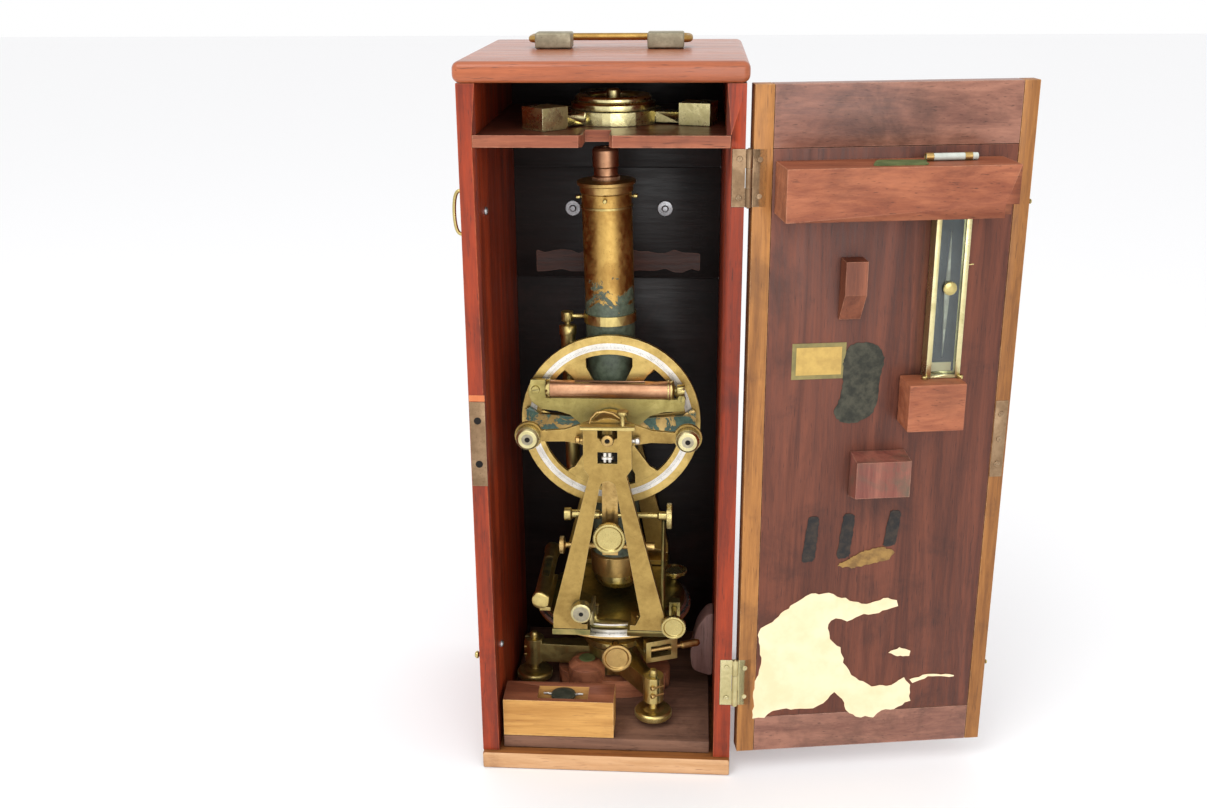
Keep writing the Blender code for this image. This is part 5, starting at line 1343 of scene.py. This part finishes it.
# ---------------------------------------------------------------- the door
@dataclass
class Door:
    """Framed door that stands open, with the blocks, papers and fittings on its inner face."""

    turn: float = 9.04
    hinge_line: tuple[float, float] = (97.66, -96.85)
    pin_offset: float = 2.66
    thickness: float = 12.5
    stile: float = 13.2
    top_rail: float = 477.0
    bottom_rail: float = 48.5
    width: float = 190.0
    lock_stile: float = 11.0
    lock_z: tuple[float, float] = (238.0, 296.0)
    lock_screw_z: tuple[float, float, float] = (248.0, 267.0, 286.0)

    @property
    def place(self) -> Matrix:
        """Frame in which x runs along the door and its inner face looks towards -y."""
        turn = Matrix.Rotation(math.radians(self.turn), 4, "Z")
        return Matrix.Translation((*self.hinge_line, 0)) @ turn @ Matrix.Translation((self.pin_offset, 0.15, 0))

    def on(self, bm: bmesh.types.BMesh) -> bmesh.types.BMesh:
        """Shape carried from the door's own frame to the world."""
        bmesh.ops.transform(bm, matrix=self.place, verts=bm.verts)
        return bm

    def board(self, name: str, x: tuple[float, float], z: tuple[float, float], finish: Finish,
              front: float = 0.0, edge: float = 0.45, replaces: Sequence[str] = ()) -> bpy.types.Object:
        """One board of the door, as thick as the door less its front's setback."""
        shape = block((x[0] + 0.1, front, z[0] + 0.1), (x[1] - 0.1, self.thickness, z[1] - 0.1))
        return add_piece(name, self.on(shape), "door", finish, edge, 2, replaces)

    def build(self) -> None:
        """Make the door's boards and everything on its face."""
        low, high = box_mm("door_panel")
        top, bottom = high.z, low.z
        s, w = self.stile, self.width
        self.board("door_stile_hinge", (0, s), (bottom, top), STILE_WOOD, replaces=["door_panel"])
        self.board("door_stile_lock", (w - self.lock_stile, w), (bottom, top), STILE_WOOD)
        self.board("door_rail_top", (s, w - self.lock_stile), (self.top_rail, top), DOOR_RAIL)
        self.board("door_rail_bottom", (s, w - self.lock_stile), (bottom, self.bottom_rail), DOOR_RAIL)
        self.board("door_board", (s, w - self.lock_stile), (self.bottom_rail, self.top_rail), DOOR_WOOD, 0.25)
        self.build_papers()
        self.build_marks()
        self.build_lock()
        self.build_studs()

    def patch(self, name: str, outline: Outline, finish: Finish, lift: float = 0.35) -> bpy.types.Object:
        """Thin flat shape on the door's face, drawn as (along, height).

        Args:
            name: the piece's name.
            outline: (along, height) corners.
            finish: its material.
            lift: its thickness.

        Returns:
            The new object.
        """
        shape = prism(outline, lift, Matrix.Translation((0, -lift + 0.1, 0)) @ STAND)
        return add_piece(name, self.on(shape), "door", finish)

    def ragged(self, outline: Outline, step: float, jitter: float, seed: int) -> Outline:
        """Outline with torn, uneven edges.

        Args:
            outline: corners in order.
            step: space between torn points.
            jitter: how far they stray.
            seed: seed of their places.

        Returns:
            The torn outline.
        """
        rng = random.Random(seed)
        torn = []
        for (x0, z0), (x1, z1) in zip(outline, outline[1:] + outline[:1]):
            count = max(int(math.hypot(x1 - x0, z1 - z0) / step), 1)
            for i in range(count):
                t = i / count
                torn.append((x0 + (x1 - x0) * t + rng.uniform(-jitter, jitter),
                             z0 + (z1 - z0) * t + rng.uniform(-jitter, jitter)))
        return torn

    def build_papers(self) -> None:
        """Torn blank paper at the foot of the door and a small blank label."""
        main = [(12, 48), (12, 76), (17, 95), (15, 106), (14, 122), (26, 131), (38, 142), (52, 150),
                (66, 150), (82, 144), (94, 140), (108, 144), (117, 142), (118, 137), (104, 132), (90, 131),
                (80, 126), (72, 130), (66, 124), (68, 112), (76, 104), (80, 92), (84, 84), (92, 76),
                (102, 70), (118, 70), (127, 76), (132, 70), (133, 56), (124, 50), (112, 48), (106, 43),
                (92, 44), (84, 50), (80, 60), (74, 66), (66, 58), (58, 54), (44, 54), (28, 54), (20, 48)]
        self.patch("torn_paper", self.ragged(main, 3.0, 0.8, 4), PAPER)
        flake = [(114, 98), (122, 102), (131, 99), (130, 94), (121, 95)]
        self.patch("paper_flake", self.ragged(flake, 2.0, 0.5, 9), PAPER)
        ribbon = [(132, 74), (146, 78), (166, 76), (166, 74.6), (146, 75.5), (134, 71)]
        self.patch("paper_ribbon", self.ragged(ribbon, 3.0, 0.5, 3), PAPER)
        self.patch("label_rim", [(31, 317), (69, 317), (69, 343), (31, 343)], LABEL_RIM, 0.3)
        self.patch("label_face", [(34, 320), (66, 320), (66, 340), (34, 340)], LABEL, 0.45)

    def build_marks(self) -> None:
        """Dark stain beside the label, faded brushed bars and a patch of old glue."""
        stain_and_shade = [(66, 300), (62, 292), (66, 285), (78, 283), (90, 289), (94, 300), (94, 316), (97, 330),
                 (92, 340), (80, 343), (70, 340), (67, 328), (68, 312)]
        self.patch("dark_stain", self.ragged(rounded(stain_and_shade, 4), 2.5, 0.5, 12), DARK_STAIN)
        for number, (x, low, high) in enumerate(((44, 176, 212), (70, 178, 213), (104, 186, 214))):
            bar = [(x, low), (x + 9.5, low + 1), (x + 11, (low + high) / 2), (x + 12, high), (x + 4, high + 1),
                   (x + 1.5, (low + high) / 2)]
            self.patch("brushed_bar_%d" % number, self.ragged(rounded(bar, 3), 2.2, 0.45, number), INK_PAINT)
        glue = [(70, 172), (80, 178), (92, 184), (104, 186), (114, 182), (110, 176), (96, 173), (82, 170)]
        self.patch("old_glue", self.ragged(rounded(glue, 3), 2.0, 0.7, 20), GLUE_PATCH)

    def build_lock(self) -> None:
        """Lock plate let into the free stile."""
        plate = block((self.width - 10.5, -0.45, self.lock_z[0]), (self.width - 1.5, 0.6, self.lock_z[1]))
        add_piece("lock_plate", self.on(plate), "door", BROWN_BRASS, 0.3, 2)
        place = self.place @ facing((self.width - 6, -0.45, 0), (0, -1, 0))
        up = facing((0, 0, 0), (0, -1, 0)).inverted()
        heads = [up @ Vector((0, 0, z)) for z in self.lock_screw_z]
        screw_heads("lock_screws", heads, place, "door", BROWN_BRASS, 2.2, 0.6)

    def build_studs(self) -> None:
        """Small studs in the free edge and the screws of the hinge leaves."""
        profile = [(0, 3.0), (1.2, 3.0), (1.7, 2.5), (1.7, 1.9), (0.8, 1.6), (0.8, 0), (0, 0)]
        for name, z in (("upper", 437.0), ("lower", 83.0)):
            at = self.place @ Vector((self.width, 5.0, z))
            out = self.place.to_3x3() @ Vector((1, 0, 0))
            add_piece("edge_stud_" + name, turned(profile, facing(at, out), 0.2, 20), "door",
                      RUBBED_BRASS)
        for level, finish in (("upper", BROWN_BRASS), ("lower", PALE_BRASS)):
            low, high = box_mm("hinge_door_leaf_" + level)
            z = (low.z + 7, high.z - 7)
            place = self.place @ facing((4.6, 0, 0), (0, -1, 0))
            up = facing((0, 0, 0), (0, -1, 0)).inverted()
            screw_heads("hinge_screws_door_" + level, [up @ Vector((0, 0, v)) for v in z], place, "door", finish,
                        1.9, 0.5)


@dataclass
class DoorFittings:
    """Blocks on the door with the trough compass and the small level they hold."""

    door: Door
    vial_along: tuple[float, float] = (112.0, 146.0)
    felt_along: tuple[float, float] = (72.0, 108.0)
    compass_along: float = 135.0
    rest_studs: tuple[float, float] = (122.0, 147.0)

    def dress(self) -> None:
        """Finishes of the blocks and of the compass."""
        rail = refined("tool_rail", BLOCK_WOOD)
        # the rail's ends share the seat's colour, painted light included
        also(rail, LIT_SEAT_WOOD, lambda face: abs(face.normal.x) > 0.9)
        refined("wedge_block", WEDGE_WOOD)
        refined("compass_block", BLOCK_WOOD)
        refined("pad_block", PAD_WOOD)
        refined("compass_trough", PALE_BRASS)
        refined("compass_glass", VIAL_GLASS)
        refined("compass_needle", SILVERED)
        at, out = joint_line("needle_lifter_turn")
        turned_again("compass_knob", facing(at, out), RUBBED_BRASS, 0.25, 48, True)

    def build(self) -> None:
        """Slate strip under the glass, side rails, the level on the rail and its felt."""
        door = self.door
        low, high = box_mm("compass_trough")
        middle = self.compass_along
        strip = block((middle - 9.5, -2.75, low.z + 2.6), (middle + 9.5, -2.35, high.z - 2.6))
        add_piece("compass_floor", door.on(strip), "door", SLATE)
        pale = block((middle - 8, -2.95, low.z + 2.7), (middle + 8, -2.6, low.z + 9))
        add_piece("compass_scale", door.on(pale), "door", PAPER)
        for side in (-1, 1):
            x = middle + side * 10.2
            rail = block((x - 1.7, -11.4, low.z + 0.2), (x + 1.7, -10.6, high.z - 0.2))
            add_piece("compass_rail_%s" % side_name(side), door.on(rail), "door", PALE_BRASS, 0.2,
                      2)
        stud = [(0, 2.6), (1.6, 2.6), (2.2, 2.0), (2.2, 0), (0, 0)]
        for x in self.rest_studs:
            at = door.place @ Vector((x, -12.0, low.z - 0.3))
            add_piece("rest_stud_%d" % int(x), turned(stud, facing(at, (0, 0, 1)), 0.2, 24),
                      "door", RUBBED_BRASS)
        arm = sweep([door.place @ Vector(p) for p in ((147, -7, 397), (152, -7, 397.5))], 0.5, 10)
        add_piece("compass_side_pin", arm, "door", RUBBED_BRASS)
        top = box_mm("tool_rail")[1].z
        place = door.place @ facing((self.vial_along[0], -14, top + 2.6), (1, 0, 0))
        length = self.vial_along[1] - self.vial_along[0]
        vial = turned([(0, 0), (2.4, 0), (2.4, length), (0, length)], place, 0.4, 28)
        add_piece("spare_vial", vial, "door", VIAL_WHITE)
        for number, start in enumerate((-1.0, length - 9)):
            cap = [(2.45, start), (2.75, start), (2.75, start + 5), (2.45, start + 5)]
            add_piece("spare_vial_cap_%d" % number, lathe(cap, place, 28, True), "door", AGED_BRASS)
        felt = [(self.felt_along[0], -30), (self.felt_along[1], -31), (self.felt_along[1] + 4, -12),
                (self.felt_along[0] + 8, -9)]
        patch = prism(door.ragged(rounded(felt, 4), 2.5, 0.5, 8), 0.7, Matrix.Translation((0, 0, top)))
        add_piece("rail_felt", door.on(patch), "door", GREEN_FELT)


# ---------------------------------------------------------------- board and levelling base
@dataclass
class Floor:
    """Sliding board with the seat block and the accessory box."""

    tool_radius: float = 9.5
    felt_at: tuple[float, float, float] = (-19.5, -25.5, 56.0)
    wedge_depth: float = 20.0
    wedge_front: float = -16.0

    def dress(self) -> None:
        """Board, seat and box."""
        low, high = box_mm("instrument_board")
        add_piece("board_look", block(low, high), "board", BOARD_WOOD, 0.9, 3, ["instrument_board"])
        # the seat's colour carries painted light
        refined("seat_block", LIT_SEAT_WOOD)
        box = refined("accessory_box", BOX_WOOD)
        also(box, BOX_TOP, lambda face: face.normal.z > 0.7)

    def build(self) -> None:
        """Chuck tool with silvered clips in the box's well, felt pad on the chock, chock at the wall."""
        low, high = box_mm("accessory_box")
        middle = Vector(((low.x + 26 + high.x - 20) / 2, (low.y + high.y) / 2 - 1, high.z - 3.2))
        tool = [(0, 0), (self.tool_radius, 0), (self.tool_radius, 2.4), (6, 3.0), (0, 3.0)]
        body = turned(tool, facing(middle, (0, 0, 1)), 0.4, 48)
        add_piece("boxed_tool", body, "board", DARK_TOOL)
        for side in (-1, 1):
            path = [middle + Vector((side * 9, 0, 1.5)), middle + Vector((side * 12, -1, 3.0)),
                    middle + Vector((side * 15, 0, 2.2))]
            add_piece("tool_clip_%s" % side_name(side), sweep(path, 1.1, 10), "board", SILVERED)
        spot = turned([(0, 0.9), (6.0, 0.8), (6.8, 0), (0, 0)], facing(self.felt_at, (0, 0, 1)), 0.3, 40)
        add_piece("chock_felt", spot, "board", GREEN_FELT)
        side = box_mm("case_right_side")[0].x
        outline = rounded([(side - 0.3, 36), (side - 17, 42), (side - 19, 58), (side - 13, 82), (side - 6, 92),
                           (side - 0.3, 94)], 5.0, 6)
        wedge = prism(outline, self.wedge_depth, Matrix.Translation((0, self.wedge_front, 0)) @ STAND)
        add_piece("wall_chock", wedge, "case", CHOCK_WOOD, 1.0, 3)


@dataclass
class LevellingBase:
    """Tribrach, three foot screws and the lower clamp and tangent screws."""

    centre: tuple[float, float, float] = (1.5, -6.5, 0.0)
    pinch_z: tuple[float, float] = (50.0, 57.0)

    def dress(self) -> None:
        """Castings keep their form; screws are turned finely."""
        refined("tribrach", OLIVE_BRASS)
        refined("lower_tangent_frame", OLIVE_BRASS)
        for number, side in ((1, "front"), (2, "right"), (3, "left")):
            at, axis = joint_line("foot_screw_%s_turn" % side)
            turned_again("foot_screw_%d" % number, facing(at, axis), OLIVE_BRASS, 0.4, 96, True)
        for node, joint in (("lower_clamp_screw", "lower_clamp_turn"), ("lower_tangent_screw", "lower_tangent_turn")):
            at, axis = joint_line(joint)
            turned_again(node, facing(at, axis), AGED_BRASS, 0.3, 72, node == "lower_clamp_screw")

    def build(self) -> None:
        """Pinch screws in the split bosses."""
        for side in ("front", "right", "left"):
            at, _ = joint_line("foot_screw_%s_turn" % side)
            out = (Vector((at.x, at.y, 0)) - Vector(self.centre)).normalized()
            across = Vector((-out.y, out.x, 0))
            for number, z in enumerate(self.pinch_z):
                start = Vector((at.x, at.y, z)) + out * 7.2 - across * 5.5
                profile = [(0, -0.5), (1.7, -0.5), (1.9, 0), (1.9, 2.2), (1.2, 2.4), (1.2, 10.5), (0, 10.5)]
                screw = turned(profile, facing(start, across), 0.2, 24)
                add_piece("pinch_screw_%s_%d" % (side, number), screw, "board", AGED_BRASS)


# ---------------------------------------------------------------- upper works
@dataclass
class UpperWorks:
    """Limb, vernier plate, standards and everything they carry."""

    middle: tuple[float, float] = (1.5, -6.5)
    head_z: float = 263.0
    foot_screw_z: float = 112.9
    silver_above: float = 98.5
    silver_from: float = 57.3
    vernier: tuple[float, float] = (54.6, 57.2)
    vernier_z: float = 106.2
    limb_marks_z: float = 101.4
    vial_at: tuple[float, float, float] = (-51.0, -19.0, 129.6)

    def dress(self) -> None:
        """Finishes of the limb, the plate, both standards and their small screws."""
        at, axis = joint_line("limb_turn")
        limb = turned_again("limb_plate", facing(at, axis), AGED_BRASS, 0.3, 160)
        also(limb, SILVERED, lambda face: face.center.z > self.silver_above * MM
             and math.dist(face.center.xy, (at.x * MM, at.y * MM)) > self.silver_from * MM)
        refined("vernier_plate", PLATE_BRASS)
        refined("front_standard", STANDARD_BRASS)
        refined("rear_standard", STANDARD_BRASS)
        refined("bearing_cap", OLIVE_BRASS)
        refined("plate_level", OLIVE_BRASS)
        refined("plate_magnifier", PALE_BRASS)
        for node, joint in (("upper_clamp_screw", "upper_clamp_turn"), ("upper_tangent_screw", "upper_tangent_turn")):
            at, axis = joint_line(joint)
            turned_again(node, facing(at, axis), RUBBED_BRASS, 0.3, 80, True)

    def build(self) -> None:
        """Graduations, screws of the standard's feet, the vial, and the fittings of the head."""
        ring_of_bars("limb_marks", Matrix.Translation((*self.middle, self.limb_marks_z)), "limb", INK_PAINT,
                     Ring(360, 59.2, 1.4, 0.12, 1.2, 10, 0.7))
        low, high = box_mm("front_standard")
        feet = [(x, low.y + 16, self.foot_screw_z) for x in (low.x + 6, high.x - 6, low.x + 20, high.x - 20)]
        screw_heads("standard_screws_front", feet, Matrix.Identity(4), "alidade", STANDARD_BRASS, 2.4, 0.8)
        glass = turned([(0, -17), (4.6, -17), (4.6, 19), (0, 19)], facing(self.vial_at, (0, -1, 0)), 0.8, 36, 4)
        add_piece("plate_level_vial", glass, "alidade", VIAL_GLASS)
        self.build_head(low.y)
        self.build_loupe()
        self.build_windows()

    def build_head(self, face: float) -> None:
        """Trunnion end with a near-black disc of painted shade for its hole, cheek screws, silvered lock nuts, the
        strap over the bearing, and a near-black sheet of painted shade behind the head's window.

        Args:
            face: depth of the standard's front face.
        """
        middle = self.middle[0]
        ring = [(2.0, 0), (4.2, 0), (4.2, 1.0), (3.6, 1.4), (2.0, 1.4)]
        add_piece("trunnion_end_ring", lathe(ring, facing((middle, face - 0.2, self.head_z), (0, -1, 0)), 40, True),
                  "telescope", AGED_BRASS)
        # the trunnion's hole is a near-black disc of painted shade
        hole = lathe([(0, 0.2), (2.0, 0.2), (2.0, 0), (0, 0)], facing((middle, face, self.head_z), (0, -1, 0)), 32)
        add_piece("trunnion_end_hole_shade", hole, "telescope", HOLE_SHADE)
        # near-black sheet of painted shade behind the head's window
        window = block((middle - 7.2, face + 4.5, 245.1), (middle + 7.2, face + 5.0, 253.9))
        add_piece("head_window_shade", window, "alidade", HOLE_SHADE)
        nut = [(0, 0), (1.5, 0), (1.5, 2.4), (2.9, 2.6), (2.9, 4.4), (1.6, 4.8), (1.6, 7.6), (0, 7.6)]
        for x in (-2.0, 1.6):
            piece = turned(nut, facing((middle + x, face + 2.2, 245.6), (0, 0, 1)), 0.2, 24)
            add_piece("lock_nut_%d" % int(x * 10 + 30), piece, "alidade", SILVERED)
        cheek = [(0, 6.0), (1.8, 6.0), (2.6, 5.2), (2.6, 2.8), (1.5, 2.2), (1.5, -1), (0, -1)]
        for side in (-1, 1):
            at = (middle + side * 17.75, face + 3.5, 262)
            screw = turned(cheek, facing(at, (side, 0, 0)), 0.3, 30)
            add_piece("cheek_screw_%s" % side_name(side), screw, "alidade",
                      SILVERED if side > 0 else AGED_BRASS)
        path = [(middle - 13, face + 3, 275.2), (middle - 12, face + 3, 279), (middle - 8, face + 3, 283.5),
                (middle - 2, face + 3, 284.4), (middle + 4, face + 3, 283.0), (middle + 9, face + 3, 279.4)]
        add_piece("bearing_spring", sweep(path, 0.75, 12), "alidade", AGED_BRASS)

    def build_loupe(self) -> None:
        """Cup of the plate magnifier, with a near-black disc of painted shade in its eye."""
        low, high = box_mm("plate_magnifier")
        centre = (low.x + 7.8, low.y, 108.7 + 17.5)
        eye = lathe([(0, 0.1), (3.2, 0.3), (6.2, 0.1), (6.2, -0.6), (0, -0.6)], facing(centre, (0, -1, 0)), 40)
        add_piece("loupe_cup", eye, "plate_lens", GREY_BRASS)
        # the eye is a near-black disc of painted shade
        hole = lathe([(0, 0.4), (1.7, 0.4), (1.7, 0), (0, 0)], facing(centre, (0, -1, 0)), 30)
        add_piece("loupe_eye_shade", hole, "plate_lens", HOLE_SHADE)

    def build_windows(self) -> None:
        """Silvered vernier in the plate's front edge."""
        inner = arc(self.middle, self.vernier[0], 250, 290, 12)
        outer = arc(self.middle, self.vernier[1], 290, 250, 12)
        strip = prism(inner + outer, 1.3, Matrix.Translation((0, 0, self.vernier_z)))
        add_piece("vernier_strip", strip, "alidade", SILVERED)


# ---------------------------------------------------------------- vertical circle and its gear
@dataclass
class CircleGear:
    """Vertical circle, index frame, striding level and reading lenses."""

    band: tuple[float, float] = (56.6, 61.6)
    vial_half: float = 30.0
    vial_radius: float = 5.2
    cup_radius: float = 6.6

    @property
    def axis(self) -> Matrix:
        """Frame on the trunnion, looking out of the case."""
        at, _ = joint_line("telescope_tilt")
        return facing(at, (0, -1, 0))

    def dress(self) -> None:
        """Finishes of the castings; the screws are turned finely."""
        refined("vertical_circle", CIRCLE_BRASS)
        refined("trunnion_axis", AGED_BRASS)
        refined("index_frame", FRAME_ENAMEL)
        refined("level_bracket", BRACKET_BRASS)
        level = refined("index_level", COPPER_LACQUER)
        also(level, RUBBED_BRASS, lambda face: abs(face.center.x - 0.0015) > 0.0444)
        refined("magnifier_bar", STANDARD_BRASS)
        refined("clamp_arm", AGED_BRASS)
        for side in ("left", "right"):
            low, high = box_mm("circle_magnifier_" + side)
            at = ((low.x + high.x) / 2, high.y, (low.z + high.z) / 2)
            turned_again("circle_magnifier_" + side, facing(at, (0, -1, 0)), PALE_BRASS, 0.4, 72, True)
        for node, joint, finish in (("vertical_clamp_screw", "vertical_clamp_turn", RUBBED_BRASS),
                                    ("vertical_tangent_screw", "vertical_tangent_turn", RUBBED_BRASS),
                                    ("index_clip_screw", "clip_screw_turn", AGED_BRASS)):
            at, axis = joint_line(joint)
            turned_again(node, facing(at, axis), finish, 0.3, 72, True)

    def build(self) -> None:
        """Silver band with graduations, lens cups with near-black discs of painted shade in their eyes, vial and level
        screws.
        """
        face = -box_mm("vertical_circle")[0].y - 6.5 - 0.6
        inner, outer = self.band
        ring = [(inner, face - 0.3), (outer, face - 0.3), (outer, face + 0.12), (inner, face + 0.12)]
        add_piece("circle_band", lathe(ring, self.axis, 180, True), "telescope", SILVERED)
        ring_of_bars("circle_marks", self.axis @ Matrix.Translation((0, 0, face + 0.1)), "telescope", INK_PAINT,
                     Ring(360, inner + 0.9, 1.7, 0.13, 0.12, 10, 0.8))
        for side in ("left", "right"):
            low, high = box_mm("circle_magnifier_" + side)
            centre = ((low.x + high.x) / 2, low.y, (low.z + high.z) / 2)
            bowl = [(0, 0.0), (2.0, 0.1), (self.cup_radius, -0.1), (self.cup_radius, -0.8), (0, -0.8)]
            cup = lathe(bowl, facing(centre, (0, -1, 0)), 48)
            add_piece("lens_cup_" + side, cup, "lens_" + side, GREY_BRASS)
            # each eye is a near-black disc of painted shade
            eye = lathe([(0, 0.35), (1.9, 0.3), (1.9, 0), (0, 0)], facing(centre, (0, -1, 0)), 30)
            add_piece("lens_eye_shade_" + side, eye, "lens_" + side, HOLE_SHADE)
        low, high = box_mm("index_level")
        at = ((low.x + high.x) / 2 - 4, (low.y + high.y) / 2, (low.z + high.z) / 2)
        half, radius = self.vial_half, self.vial_radius
        tube = [(0, -half), (radius, -half), (radius, half), (0, half)]
        vial = turned(tube, facing(at, (1, 0, 0)), 0.8, 36, 4)
        add_piece("index_vial", vial, "alidade", VIAL_GLASS)
        for x in (low.x + 2.0, high.x - 12.5):
            ring = [(7.15, 0), (7.5, 0), (7.5, 1.0), (7.15, 1.0)]
            collar = lathe(ring, facing((x, at[1], at[2]), (1, 0, 0)), 48, True)
            add_piece("level_collar_%d" % int(x + 100), collar, "alidade", RUBBED_BRASS)
        front = box_mm("level_bracket")[0].y
        place = facing((0, front, 0), (0, -1, 0))
        spots = [place.inverted() @ Vector(p) for p in ((-54.0, front, 290.5), (54.5, front, 285.0))]
        screw_heads("bracket_screws", spots, place, "alidade", BRACKET_BRASS, 3.2, 1.6)


# ---------------------------------------------------------------- telescope
@dataclass
class Telescope:
    """Tube with its level, eyepiece and cap."""

    lean: float = -1.3
    tube_radius: float = 18.5
    capstans: int = 4
    capstan_z: float = 166.0
    eye_z: float = 198.4

    @property
    def axis(self) -> Matrix:
        """Frame on the trunnion with its z axis up the tube."""
        at, _ = joint_line("telescope_tilt")
        return Matrix.Translation(at) @ Matrix.Rotation(math.radians(self.lean), 4, "Y")

    def dress(self) -> None:
        """Tube, eyepiece and cap are turned finely."""
        tube = turned_again("telescope_tube", self.axis, TUBE_ENAMEL, 0.4, 128)
        inward = self.axis.inverted()

        def wide(face: bpy.types.MeshPolygon) -> bool:
            """Whether a face lies on the drum, the collar or the inside."""
            here = inward @ (face.center / MM)
            return here.xy.length > 18.8 or here.xy.length < 18.2 or here.z > 169.5

        also(tube, AGED_BRASS, wide)
        turned_again("eyepiece", self.axis, COPPER_LACQUER, 0.35, 80, True)
        turned_again("objective_cap", self.axis, RUBBED_BRASS, 0.6, 96)
        refined("telescope_level", OLIVE_BRASS)

    def build(self) -> None:
        """Capstan screws round the flange, a ring below it and the eye lens."""
        profile = [(0, 4.2), (1.2, 4.2), (1.6, 3.8), (1.6, 1.0), (0.9, 0.6), (0.9, -1.0), (0, -1.0)]
        for number in range(self.capstans):
            turn = Matrix.Rotation(TAU * number / self.capstans, 4, "Z")
            out = Vector((1, 0, 0))
            place = self.axis @ turn @ facing(out * (self.tube_radius + 0.1) + Vector((0, 0, self.capstan_z)), out)
            add_piece("capstan_screw_%d" % number, turned(profile, place, 0.25, 24), "telescope",
                      RUBBED_BRASS)
        band = [(self.tube_radius, 158.5), (19.2, 158.5), (19.2, 160.0), (self.tube_radius, 160.0)]
        add_piece("flange_band", lathe(band, self.axis, 96, True), "telescope", OLIVE_BRASS)
        eye = lathe([(0, self.eye_z), (3.1, self.eye_z), (3.1, self.eye_z + 1.0), (0, self.eye_z + 1.2)], self.axis, 30)
        add_piece("eye_lens", eye, "eye_end", LENS_GLASS)


# ---------------------------------------------------------------- tripod plate
@dataclass
class TripodHead:
    """Three-armed plate stored on the shelf, with its ring and centre screw."""

    centre: tuple[float, float, float] = (4.0, -22.0, 0.0)
    ring_z: float = 500.7

    def dress(self) -> None:
        """Plate keeps its form; the ring and the screw are turned finely."""
        refined("tripod_plate", TRIPOD_BRASS)
        for node, joint in (("tripod_lock_ring", "lock_ring_turn"), ("tripod_centre_screw", "centre_screw_turn")):
            at, axis = joint_line(joint)
            turned_again(node, facing(at, axis), TRIPOD_BRASS, 0.4, 120)

    def build(self) -> None:
        """Second, thinner ring that lies on the first."""
        ring = [(17.5, 0), (27.0, 0), (27.0, 2.3), (25.5, 3.5), (19, 3.5), (17.5, 2.3)]
        ring = [(radius, self.ring_z + up) for radius, up in ring]
        at = Matrix.Translation(self.centre)
        add_piece("upper_ring", lathe(rounded(ring, 0.4, 4), at, 96, True), "lock_ring", TRIPOD_BRASS)


# ---------------------------------------------------------------- studio
@dataclass(frozen=True)
class Studio:
    """Floor, soft lights and the camera."""

    eye: tuple[float, float, float] = (0.0641, -0.9875, 0.6095)
    pitch: float = 19.17
    yaw: float = -4.08
    roll: float = -0.46
    lens: float = 40.19
    sensor: float = 36.0
    floor_reach: float = 8.0
    floor_drop: float = 0.0002
    aim: tuple[float, float, float] = (0.05, 0.0, 0.25)

    def build(self) -> None:
        """Set up everything that isn't the object."""
        self.build_floor()
        self.build_lights()
        self.build_camera()

    def build_floor(self) -> None:
        """Plain pale floor."""
        mesh = bpy.data.meshes.new("floor")
        size, drop = self.floor_reach, -self.floor_drop
        corners = [(-size, -size, drop), (size, -size, drop), (size, size, drop), (-size, size, drop)]
        mesh.from_pydata(corners, [], [(0, 1, 2, 3)])
        floor = bpy.data.objects.new("floor", mesh)
        bpy.context.scene.collection.objects.link(floor)
        paint = bpy.data.materials.new("floor_paint")
        paint.use_nodes = True
        shader = paint.node_tree.nodes["Principled BSDF"]
        shader.inputs["Base Color"].default_value = (0.93, 0.93, 0.94, 1)
        shader.inputs["Roughness"].default_value = 0.9
        mesh.materials.append(paint)

    def build_lights(self) -> None:
        """White surroundings and large soft lamps."""
        world = bpy.data.worlds.new("studio")
        world.use_nodes = True
        back = world.node_tree.nodes["Background"]
        back.inputs["Color"].default_value = (1.0, 1.0, 1.0, 1)
        back.inputs["Strength"].default_value = 1.0
        bpy.context.scene.world = world
        bpy.context.scene.view_settings.view_transform = "Standard"
        self.add_lamp("key", (-0.8, -1.4, 2.2), 1.3, 18.0)
        self.add_lamp("fill", (0.5, -1.9, 0.75), 1.2, 12.0)

    def add_lamp(self, name: str, at: Point, size: float, power: float) -> None:
        """Add a square area light aimed at the case's middle.

        Args:
            name: the lamp's name.
            at: where it stands, in metres.
            size: length of its side.
            power: its power in watts.
        """
        data = bpy.data.lights.new(name, "AREA")
        data.size, data.energy = size, power
        lamp = bpy.data.objects.new(name, data)
        lamp.location = at
        aim = Vector(self.aim) - Vector(at)
        lamp.rotation_euler = aim.to_track_quat("-Z", "Y").to_euler()
        bpy.context.scene.collection.objects.link(lamp)

    def build_camera(self) -> None:
        """Camera at the viewing angle."""
        data = bpy.data.cameras.new("camera")
        data.lens, data.sensor_width, data.clip_start = self.lens, self.sensor, 0.01
        camera = bpy.data.objects.new("camera", data)
        turn = (Matrix.Rotation(math.radians(-self.yaw), 4, "Z")
                @ Matrix.Rotation(math.radians(90 - self.pitch), 4, "X")
                @ Matrix.Rotation(math.radians(self.roll), 4, "Z"))
        camera.matrix_world = Matrix.Translation(self.eye) @ turn
        bpy.context.scene.collection.objects.link(camera)
        bpy.context.scene.camera = camera


def main() -> None:
    """Build and dress each sub-assembly in turn."""
    logging.basicConfig(level=logging.INFO, format="%(name)s: %(message)s")
    door = Door()
    sections = (Case(), door, DoorFittings(door), Floor(), LevellingBase(), UpperWorks(), CircleGear(),
                Telescope(), TripodHead())
    for section in sections:
        count = len(bpy.data.objects)
        if hasattr(section, "dress"):
            section.dress()
        section.build()
        log.info("%s: %d pieces", type(section).__name__, len(bpy.data.objects) - count)
    Studio().build()
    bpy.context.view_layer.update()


if __name__ == "__main__":
    main()
